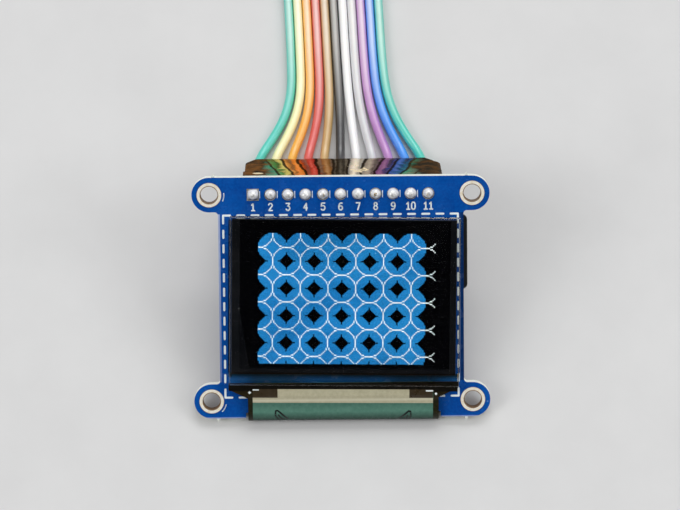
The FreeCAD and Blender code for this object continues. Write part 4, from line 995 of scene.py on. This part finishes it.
# Places on the back, in millimetres with X as seen from behind: middle, width and height
BACK_OUTLINES = [
    (9.6, 8.2, 7.6, 4.4),
    (13.2, 1.2, 4.0, 2.6),
    (3.2, -4.6, 3.6, 2.4),
    (-3.2, -5.2, 4.6, 4.6),
    (-8.4, -5.6, 3.2, 2.2),
]
# Traces on the back: runs between pins, chips and small parts
BACK_TRACES = [
    [(12.7, 14.0), (12.7, 11.6), (11.4, 10.4)],
    [(10.16, 14.0), (10.16, 10.6)],
    [(7.62, 14.0), (7.62, 11.4), (8.4, 10.6)],
    [(5.08, 14.0), (5.08, 10.0), (6.0, 9.1)],
    [(2.54, 14.0), (2.54, 5.2), (5.2, 2.6)],
    [(0.0, 14.0), (0.0, 4.6), (1.2, 3.4)],
    [(-2.54, 14.0), (-2.54, 12.6)],
    [(-5.08, 14.0), (-5.08, 12.8)],
    [(15.8, 3.4), (15.8, -2.4), (13.6, -4.6), (13.6, -9.6)],
    [(14.2, -0.6), (14.2, -3.4), (11.2, -6.4), (11.2, -9.6)],
    [(8.6, 5.6), (8.6, 3.4), (6.8, 1.6), (6.8, -2.6)],
    [(9.4, -0.8), (9.4, -9.6)],
    [(5.0, -6.4), (5.0, -9.6)],
    [(-0.4, -3.4), (-6.6, -3.4)],
    [(-1.0, -8.2), (-1.0, -9.8)],
    [(-12.6, -8.0), (-12.6, -9.8)],
]
VIAS = [
    (11.4, 5.4), (6.8, -3.2), (15.8, -8.0), (9.4, 4.2),
    (1.6, -9.0), (-6.0, -9.2), (-14.6, -3.4), (1.0, 6.6),
]
OUTLINE_WIDTH = 0.15 * MM
TRACE_WIDTH = 0.26 * MM
VIA_WIDTH = 0.7 * MM
BACK_FACE = BOARD @ Matrix.Translation((0, 0, -BOARD_THICK)) @ Matrix.Rotation(math.pi, 4, "Y")


def back_print():
    """White part outlines and pin numbers on the back, and the traces under the mask."""
    ink = Print()
    for across, up, width, height in BACK_OUTLINES:
        left, right = across - width / 2, across + width / 2
        low, high = up - height / 2, up + height / 2
        ink.line([(left, low), (right, low), (right, high), (left, high), (left, low)], OUTLINE_WIDTH)
    for index in (0, PIN_COUNT - 1):
        draw_number(ink, index, -1, BACK_LABEL_ROW)
    ink.finish("back_print", "white_ink", "solder_mask", BACK_FACE)
    copper = Print()
    for trace in BACK_TRACES:
        copper.line(trace, TRACE_WIDTH)
    for place in VIAS:
        copper.stroke(place, (place[0] + 0.02, place[1]), VIA_WIDTH, 8)
    copper.finish("back_traces", "trace_mask", "solder_mask", BACK_FACE)


board_print()
back_print()


# Solder

# A joint's half section: radius and height in millimetres
SOLDER_PROFILE = [
    (0.82, 0.045), (0.79, 0.12), (0.74, 0.23), (0.69, 0.36), (0.63, 0.50),
    (0.55, 0.63), (0.45, 0.74), (0.32, 0.83), (0.17, 0.88), (0.0, 0.90),
]
SOLDER_SIDES = 28


def solder_domes():
    """Eleven hand made joints, each a little different, the first on a square pad."""
    drawn = bmesh.new()
    for index in range(PIN_COUNT):
        across = pin_place(index)
        fat = random.uniform(0.94, 1.04)
        tall = random.uniform(0.95, 1.08)
        lean_x, lean_y = random.uniform(-0.10, 0.10), random.uniform(-0.08, 0.08)
        lump = Vector((random.uniform(-9, 9), random.uniform(-9, 9), 0))
        rows = []
        for ring, (radius, height) in enumerate(SOLDER_PROFILE):
            row = []
            for side in range(SOLDER_SIDES):
                angle = 2 * math.pi * side / SOLDER_SIDES
                way = Vector((math.cos(angle), math.sin(angle)))
                spot = Vector((*way, height * 1.5)) * 1.3 + lump
                reach = radius * fat * (1 + 0.10 * field.noise(spot))
                if index == 0 and ring < 3:
                    square = 1 / max(abs(way.x), abs(way.y))
                    reach *= 1 + (min(square, 1.25) - 1) * (1 - ring / 3)
                x = reach * way.x + lean_x * height
                y = reach * way.y + lean_y * height
                place = (across + x * MM, PIN_ROW + y * MM, height * tall * MM)
                row.append(drawn.verts.new(place))
            rows.append(row)
        for low, high in zip(rows, rows[1:]):
            join(drawn, low, high)
        drawn.faces.new(list(reversed(rows[0])))
    bmesh.ops.remove_doubles(drawn, verts=drawn.verts, dist=0.000001)
    bmesh.ops.recalc_face_normals(drawn, faces=drawn.faces)
    mesh = mesh_of("solder_domes", drawn, smooth=True)
    made = new_piece("solder_domes", mesh, "solder_domes", BOARD)
    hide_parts("solder_joints")


solder_domes()


# The lit picture

DOTS_ACROSS = 128
DOTS_UP = 96
CELL_DOTS = 20
DISC_LIFT = 1.262 * MM
RING_LIFT = 1.285 * MM
DOT_THICK = 0.006 * MM


def circle_dots(radius):
    """The steps of a circle drawn in square picture elements."""
    dots = set()
    x, y = 0, radius
    error = 1 - radius
    while x <= y:
        for a, b in ((x, y), (y, x)):
            dots.update([(a, b), (-a, b), (a, -b), (-a, -b)])
        x += 1
        if error >= 0:
            y -= 1
            error -= 2 * y
        error += 2 * x + 1
    return dots


def picture(kind):
    """The lit elements of one layer: full discs, or thin circles between them."""
    radius = CELL_DOTS // 2
    ring = circle_dots(radius)
    lit = set()
    start, reach = (radius, 0) if kind == "discs" else (0, radius)
    for column in range(start, DOTS_ACROSS + reach, CELL_DOTS):
        for line in range(start, DOTS_UP + reach, CELL_DOTS):
            for a, b in ring:
                if kind == "circles":
                    lit.add((column + a, line + b))
                elif a >= 0:
                    lit.update((column + step, line + b) for step in range(-a, a + 1))
    return {(a, b) for a, b in lit if 0 <= a < DOTS_ACROSS and 0 <= b < DOTS_UP}


def lit_picture(kind, node, finish, lift):
    """Rows of lit elements as thin strips with stepped ends."""
    lit = picture(kind)
    ink = Print(base=lift)
    ink.level = DOT_THICK
    half = 0.4 if kind == "circles" else 0.5
    inset = (0.5 - half) * DOT_PITCH
    for line in range(DOTS_UP):
        column = 0
        while column < DOTS_ACROSS:
            if (column, line) not in lit:
                column += 1
                continue
            first = column
            while (column, line) in lit:
                column += 1
            left = LIT_LOW.x + first * DOT_PITCH + inset
            right = LIT_LOW.x + column * DOT_PITCH - inset
            middle = LIT_LOW.y + (DOTS_UP - line - 0.5) * DOT_PITCH
            low, high = middle - half * DOT_PITCH, middle + half * DOT_PITCH
            ink.outline([(left, low), (right, low), (right, high), (left, high)])
            ink.level = DOT_THICK
    made = ink.finish("lit_picture_" + kind, finish, finish, DISPLAY)
    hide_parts(node)


lit_picture("discs", "lit_discs", "lit_blue", DISC_LIFT)
lit_picture("circles", "lit_rings", "lit_white", RING_LIFT)


# Print on the flexible tail

# The tail runs flat, slopes, then bends round the board's edge: height up the board and
# distance out of its face, in metres, at each change
TAIL_START = Vector((-12.275, 1.24)) * MM
TAIL_KNEE = Vector((-14.275, 1.24)) * MM
TAIL_TANGENT = Vector((-16.549, 0.584)) * MM
TAIL_CENTRE = Vector((-16.15, -0.8)) * MM
TAIL_RADIUS = 1.44 * MM
TAIL_HALF_THICK = 0.06 * MM
# Outward at the knee, halfway between the flat and the slope
KNEE_OUT = Vector((-0.14, 0.99))
# How far the print turns and shifts with the display
PRINT_SLANT = 0.0115
PRINT_SHIFT = 0.07 * MM
# In millimetres along the tail: where a field may start at the earliest, and one row of it
FIRST_ROW = 0.01
TAIL_ROW = 0.16


def on_tail(x, along, lift):
    """A place on the tail's outer face, by the distance along it from its start."""
    flat = (TAIL_KNEE - TAIL_START).length
    slope = TAIL_TANGENT - TAIL_KNEE
    if along <= flat:
        middle = TAIL_START.lerp(TAIL_KNEE, along / flat)
        out = Vector((0, 1)) if along < flat - 0.01 * MM else KNEE_OUT
    elif along <= flat + slope.length:
        middle = TAIL_KNEE.lerp(TAIL_TANGENT, (along - flat) / slope.length)
        out = Vector((slope.y, -slope.x)).normalized()
    else:
        start = TAIL_TANGENT - TAIL_CENTRE
        angle = math.atan2(start.y, start.x) + (along - flat - slope.length) / TAIL_RADIUS
        out = Vector((math.cos(angle), math.sin(angle)))
        middle = TAIL_CENTRE + out * TAIL_RADIUS
    place = middle + out * (TAIL_HALF_THICK + lift)
    return Vector((x, place.x, place.y))


def smooth_step(value):
    value = min(max(value, 0.0), 1.0)
    return value * value * (3 - 2 * value)


# Where the cover leaves the tail, stands off most and meets it again, along the tail
LOOSE_FROM = 2.6 * MM
LOOSE_MOST = 5.85 * MM
LOOSE_TO = 7.54 * MM
LOOSE_HEIGHT = 0.62 * MM


def on_loose_cover(x, along, lift):
    """A place on the cover, which stands off the tail a little round the bend."""
    if lift <= 0:
        return on_tail(x, along, lift)
    rise = smooth_step((along - LOOSE_FROM) / (LOOSE_MOST - LOOSE_FROM))
    fall = smooth_step((LOOSE_TO - along) / (LOOSE_TO - LOOSE_MOST))
    return on_tail(x, along, lift + LOOSE_HEIGHT * min(rise, fall))


def on_turned_cover(x, along, lift):
    """The same for print that is turned a little with the display."""
    return on_loose_cover(x, along + PRINT_SLANT * x + PRINT_SHIFT, lift)


def tail_rows(left, right, start, end):
    """Rows of a field on the tail, turned with the display, with one row right at the knee."""
    knee = (TAIL_KNEE - TAIL_START).length / MM
    stops = []
    for along in (start, end):
        shifted = along + PRINT_SHIFT / MM
        stops.append([max(shifted + PRINT_SLANT * side, FIRST_ROW) for side in (left, right)])
    if start < knee < end:
        stops.insert(1, [knee, knee])
    rows = [stops[0]]
    for first, second in zip(stops, stops[1:]):
        parts = math.ceil((second[0] - first[0]) / TAIL_ROW)
        for part in range(1, parts + 1):
            rows.append([a + (b - a) * part / parts for a, b in zip(first, second)])
    return rows


# Fields on the tail: their left and right sides, and where they start and end along it
TAIL_FIELDS = {
    "tail_black_strip": ("black_field", [
        (-16.5, 16.8, -0.3, 1.0), (-16.5, -13.05, 1.0, 1.3), (13.2, 16.8, 1.0, 1.3)]),
    "tail_dark_fields": ("brown_field", [(-13.05, -9.42, 1.0, 2.28), (9.76, 13.2, 1.0, 2.28)]),
    "tail_cream_fields": ("cream_field", [(-9.42, 9.76, 1.0, 2.28), (-13.05, 13.2, 2.28, 3.08)]),
    "tail_green_cover": ("green_cover", [(-13.05, 13.2, 3.08, 8.2)]),
    "tail_side_borders": ("olive_border", [
        (-13.73, -13.05, 2.45, 8.2), (13.2, 14.03, 2.45, 8.2)]),
}
# Pale marks on the tail: the ends of each stroke and its width, in millimetres
PALE_MARKS = [
    ([(-12.98, 1.12), (-12.2, 1.12)], 0.16),
    ([(12.25, 1.2), (13.15, 1.2)], 0.2),
    ([(-13.5, 1.52), (-13.48, 1.52)], 0.34),
    ([(-13.5, 1.34), (-13.5, 1.7)], 0.12),
    ([(-13.68, 1.52), (-13.32, 1.52)], 0.12),
    ([(13.63, 1.62), (13.65, 1.62)], 0.34),
]
# Corner marks: their paths from a middle that each side has, and the strokes' sizes
CORNER_MARKS = [
    [(0.1, 4.22), (-0.18, 4.28), (-0.22, 4.84), (0.0, 5.12), (0.32, 5.5)],
    [(0.1, 4.22), (0.85, 4.75), (1.55, 5.25)],
    [(0.24, 4.8), (0.55, 5.15), (0.98, 5.42)],
]
CORNER_MIDDLES = ((1, -9.55), (-1, 9.75))
CORNER_WIDTH = 0.22 * MM
CORNER_STROKE = 0.4
# The marks lie a little higher than the fields
MARK_BASE = INK_HEIGHT * 1.2


def tail_print():
    """Fields, small marks and corner marks on the tail, in millimetres across and along it."""
    for name, (finish, areas) in TAIL_FIELDS.items():
        ink = Print(on_loose_cover)
        for left, right, start, end in areas:
            ink.area(left, right, tail_rows(left, right, start, end))
        ink.finish(name, finish, "flex_film", BOARD)
    marks = Print(on_turned_cover, MARK_BASE)
    for points, width in PALE_MARKS:
        marks.line(points, width * MM)
    marks.finish("tail_pale_marks", "white_ink", "flex_film", BOARD)
    lines = Print(on_turned_cover, MARK_BASE)
    for side, middle in CORNER_MIDDLES:
        for path in CORNER_MARKS:
            points = [(middle + side * x, along) for x, along in path]
            lines.line(points, CORNER_WIDTH, CORNER_STROKE)
    lines.finish("tail_corner_marks", "dark_line", "flex_film", BOARD)


tail_print()


# Tape

# The film's wall in metres. The other sizes of the tape are in millimetres.
TAPE_WALL = 0.08 * MM
# Half a housing, and the film's gaps beside the row of housings and over it
HOUSING_HALF = 1.24
GAP_BESIDE = 0.07
GAP_OVER = 0.10
# The sleeve's front and rear out of the board's face, and how its grid is divided
TAPE_FRONT = -6.34
TAPE_REAR = -20.9
TAPE_ROWS = 40
TAPE_STEPS = 66
# The outline's corner radius, and its points as shares of a quarter turn
TAPE_CORNER = 0.22
TAPE_TURNS = (0.35, 0.7, 1.0)
# How much the rear corners are cut away, and how the upper side rises toward the rear
TAPE_CUT = 2.5
TAPE_CUT_FROM = 12.3
TAPE_CUT_WIDE = 1.9
TAPE_RISE = 0.048
TAPE_RISE_FROM = -9.0
# The fins where the film is pressed together: how far past the sleeve's side, and how high
FIN_RIGHT = (
    (0, 1.31), (0.4, 1.22), (0.74, 1.04), (0.86, 0.6), (0.8, 0.3), (0.98, 0.03),
    (0.98, -0.03), (0.49, -0.05), (0.12, -0.09), (0.02, -0.3), (0, -0.7),
)
FIN_LEFT = (
    (0, -0.7), (0.02, -0.3), (0.12, -0.09), (0.38, -0.03),
    (0.38, 0.03), (0.12, 0.09), (0.02, 0.3), (0, 0.7),
)


def tape_section():
    """The sleeve's closed outline round the row of housings, with a fin at each side."""
    half = pin_place(PIN_COUNT - 1) / MM + HOUSING_HALF + GAP_BESIDE
    top = HOUSING_HALF + GAP_OVER
    inner = half - TAPE_CORNER
    row = [inner * (2 * step / TAPE_STEPS - 1) for step in range(TAPE_STEPS + 1)]
    corner = []
    for share in TAPE_TURNS:
        angle = share * math.pi / 2
        corner.append((inner + TAPE_CORNER * math.sin(angle), top - TAPE_CORNER * (1 - math.cos(angle))))
    points = [(x, top) for x in row]
    points += [(half + x, v) for x, v in FIN_RIGHT]
    points += [(x, -v) for x, v in reversed(corner)]
    points += [(x, -top) for x in reversed(row)]
    points += [(-x, -v) for x, v in corner]
    points += [(-half - x, v) for x, v in FIN_LEFT]
    points += [(-x, v) for x, v in reversed(corner)]
    return points


def tape_wrap():
    """Glossy amber tape round the housings, wrinkled, with rounded rear corners."""
    drawn = bmesh.new()
    section = tape_section()
    rows = []
    for row in range(TAPE_ROWS + 1):
        ring = []
        for x, v in section:
            # The rear end has rounded corners and is a little ragged
            end = TAPE_REAR + TAPE_CUT * smooth_step((abs(x) - TAPE_CUT_FROM) / TAPE_CUT_WIDE)
            end += 0.35 * field.noise(Vector((x * 0.45, 4.0, v)))
            place = TAPE_FRONT + (end - TAPE_FRONT) * row / TAPE_ROWS
            # Long folds with fine wrinkles on them
            spot = Vector((x * 0.42, place * 0.30, v * 0.5 + 7.0))
            ridge = 1 - abs(field.noise(spot * 1.1)) * 2.2
            fine = field.noise(spot * 3.4)
            out = 0.02 + 0.04 * max(ridge, 0.0) ** 3 + 0.012 * (fine + 0.5)
            lift = TAPE_RISE * max(TAPE_RISE_FROM - place, 0.0) if v > 0 else 0.0
            way = 1 if v > 0 else -1
            flat = 1.0 if abs(v) > 0.5 else 0.3
            up = PIN_ROW + (v + way * flat * out + lift) * MM
            ring.append(drawn.verts.new((x * MM, up, place * MM)))
        rows.append(ring)
    for first, second in zip(rows, rows[1:]):
        join(drawn, first, second)
    bmesh.ops.recalc_face_normals(drawn, faces=drawn.faces)
    mesh = mesh_of("tape_wrap", drawn, smooth=True)
    made = new_piece("tape_wrap", mesh, "amber_tape", BOARD)
    wall = made.modifiers.new("wall", "SOLIDIFY")
    wall.thickness = TAPE_WALL
    wall.offset = 1
    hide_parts("wrap_tape")


tape_wrap()


# Floor, lights and camera

FLOOR_HALF = 3.0
# A dark card in front of the display: its direction, and the closeness of its soft edge
CARD_WAY = (0, -0.687, 0.727)
CARD_EDGES = (0.91, 0.965)


def floor():
    mesh = bpy.data.meshes.new("floor")
    corners = [(x * FLOOR_HALF, y * FLOOR_HALF, 0) for x, y in ((-1, -1), (1, -1), (1, 1), (-1, 1))]
    mesh.from_pydata(corners, [], [(0, 1, 2, 3)])
    plate = bpy.data.objects.new("floor", mesh)
    bpy.context.scene.collection.objects.link(plate)
    made = Finish("pale_floor", Roughness=0.85, Specular_IOR_Level=0.2)
    tint = made.mottle(60.0, (212, 212, 212), (216, 216, 216))
    mesh.materials.append(made.link(Base_Color=tint))


def lamp(name, place, size_x, size_y, power):
    """A soft rectangular lamp that faces the object."""
    light = bpy.data.lights.new(name, "AREA")
    light.shape = "RECTANGLE"
    light.size = size_x
    light.size_y = size_y
    light.energy = power
    made = bpy.data.objects.new(name, light)
    made.location = place
    made.rotation_euler = (-Vector(place)).to_track_quat("-Z", "Y").to_euler()
    bpy.context.scene.collection.objects.link(made)


def room():
    """A pale room with a soft dark card high in front, which the display mirrors."""
    world = bpy.data.worlds.new("room")
    bpy.context.scene.world = world
    world.use_nodes = True
    tree = world.node_tree
    back = tree.nodes["Background"].inputs
    way = make(tree, "TexCoord", "Generated")
    card = span(agreement(way, CARD_WAY), *CARD_EDGES)
    level = span(axes(way, "Z")[0], -0.2, 1.0)
    shade = blend(level, (0.55, 0.55, 0.56, 1), (0.92, 0.92, 0.92, 1))
    tree.links.new(blend(card, shade, (0.012, 0.012, 0.014, 1)).socket, back["Color"])
    back["Strength"].default_value = 0.50


floor()
room()
lamp("back_window", (0.10, 0.70, 0.85), 0.9, 0.6, 6.0)
lamp("left_fill", (-0.65, -0.25, 0.6), 0.45, 0.45, 2.6)
lamp("right_fill", (0.65, -0.1, 0.6), 0.45, 0.45, 1.8)

CAMERA_PLACE = Vector((0, -258.49, 620.344)) * MM
CAMERA_ELEVATION = math.radians(66.8636)
CAMERA_YAW = math.radians(0.0326)
CAMERA_ROLL = math.radians(0.55)
SENSOR_WIDTH = 36
# The photograph's focal length and width, in pixels
CAMERA_LENS = 4541 / 680 * SENSOR_WIDTH


def camera():
    """The photograph's view: from above and in front, turned a little clockwise."""
    flat = math.cos(CAMERA_ELEVATION)
    away = -math.cos(CAMERA_YAW) * flat
    back = Vector((math.sin(CAMERA_YAW) * flat, away, math.sin(CAMERA_ELEVATION)))
    level = Vector((0, 0, 1)).cross(back).normalized()
    rise = back.cross(level)
    right = level * math.cos(CAMERA_ROLL) - rise * math.sin(CAMERA_ROLL)
    up = level * math.sin(CAMERA_ROLL) + rise * math.cos(CAMERA_ROLL)
    lens = bpy.data.cameras.new("camera")
    lens.lens = CAMERA_LENS
    lens.sensor_width = SENSOR_WIDTH
    lens.clip_start = 0.01
    lens.clip_end = 20
    made = bpy.data.objects.new("camera", lens)
    turned = Matrix((right, up, back)).transposed().to_4x4()
    made.matrix_world = Matrix.Translation(CAMERA_PLACE) @ turned
    bpy.context.scene.collection.objects.link(made)
    bpy.context.scene.camera = made


camera()
bpy.context.scene.view_settings.view_transform = "Standard"
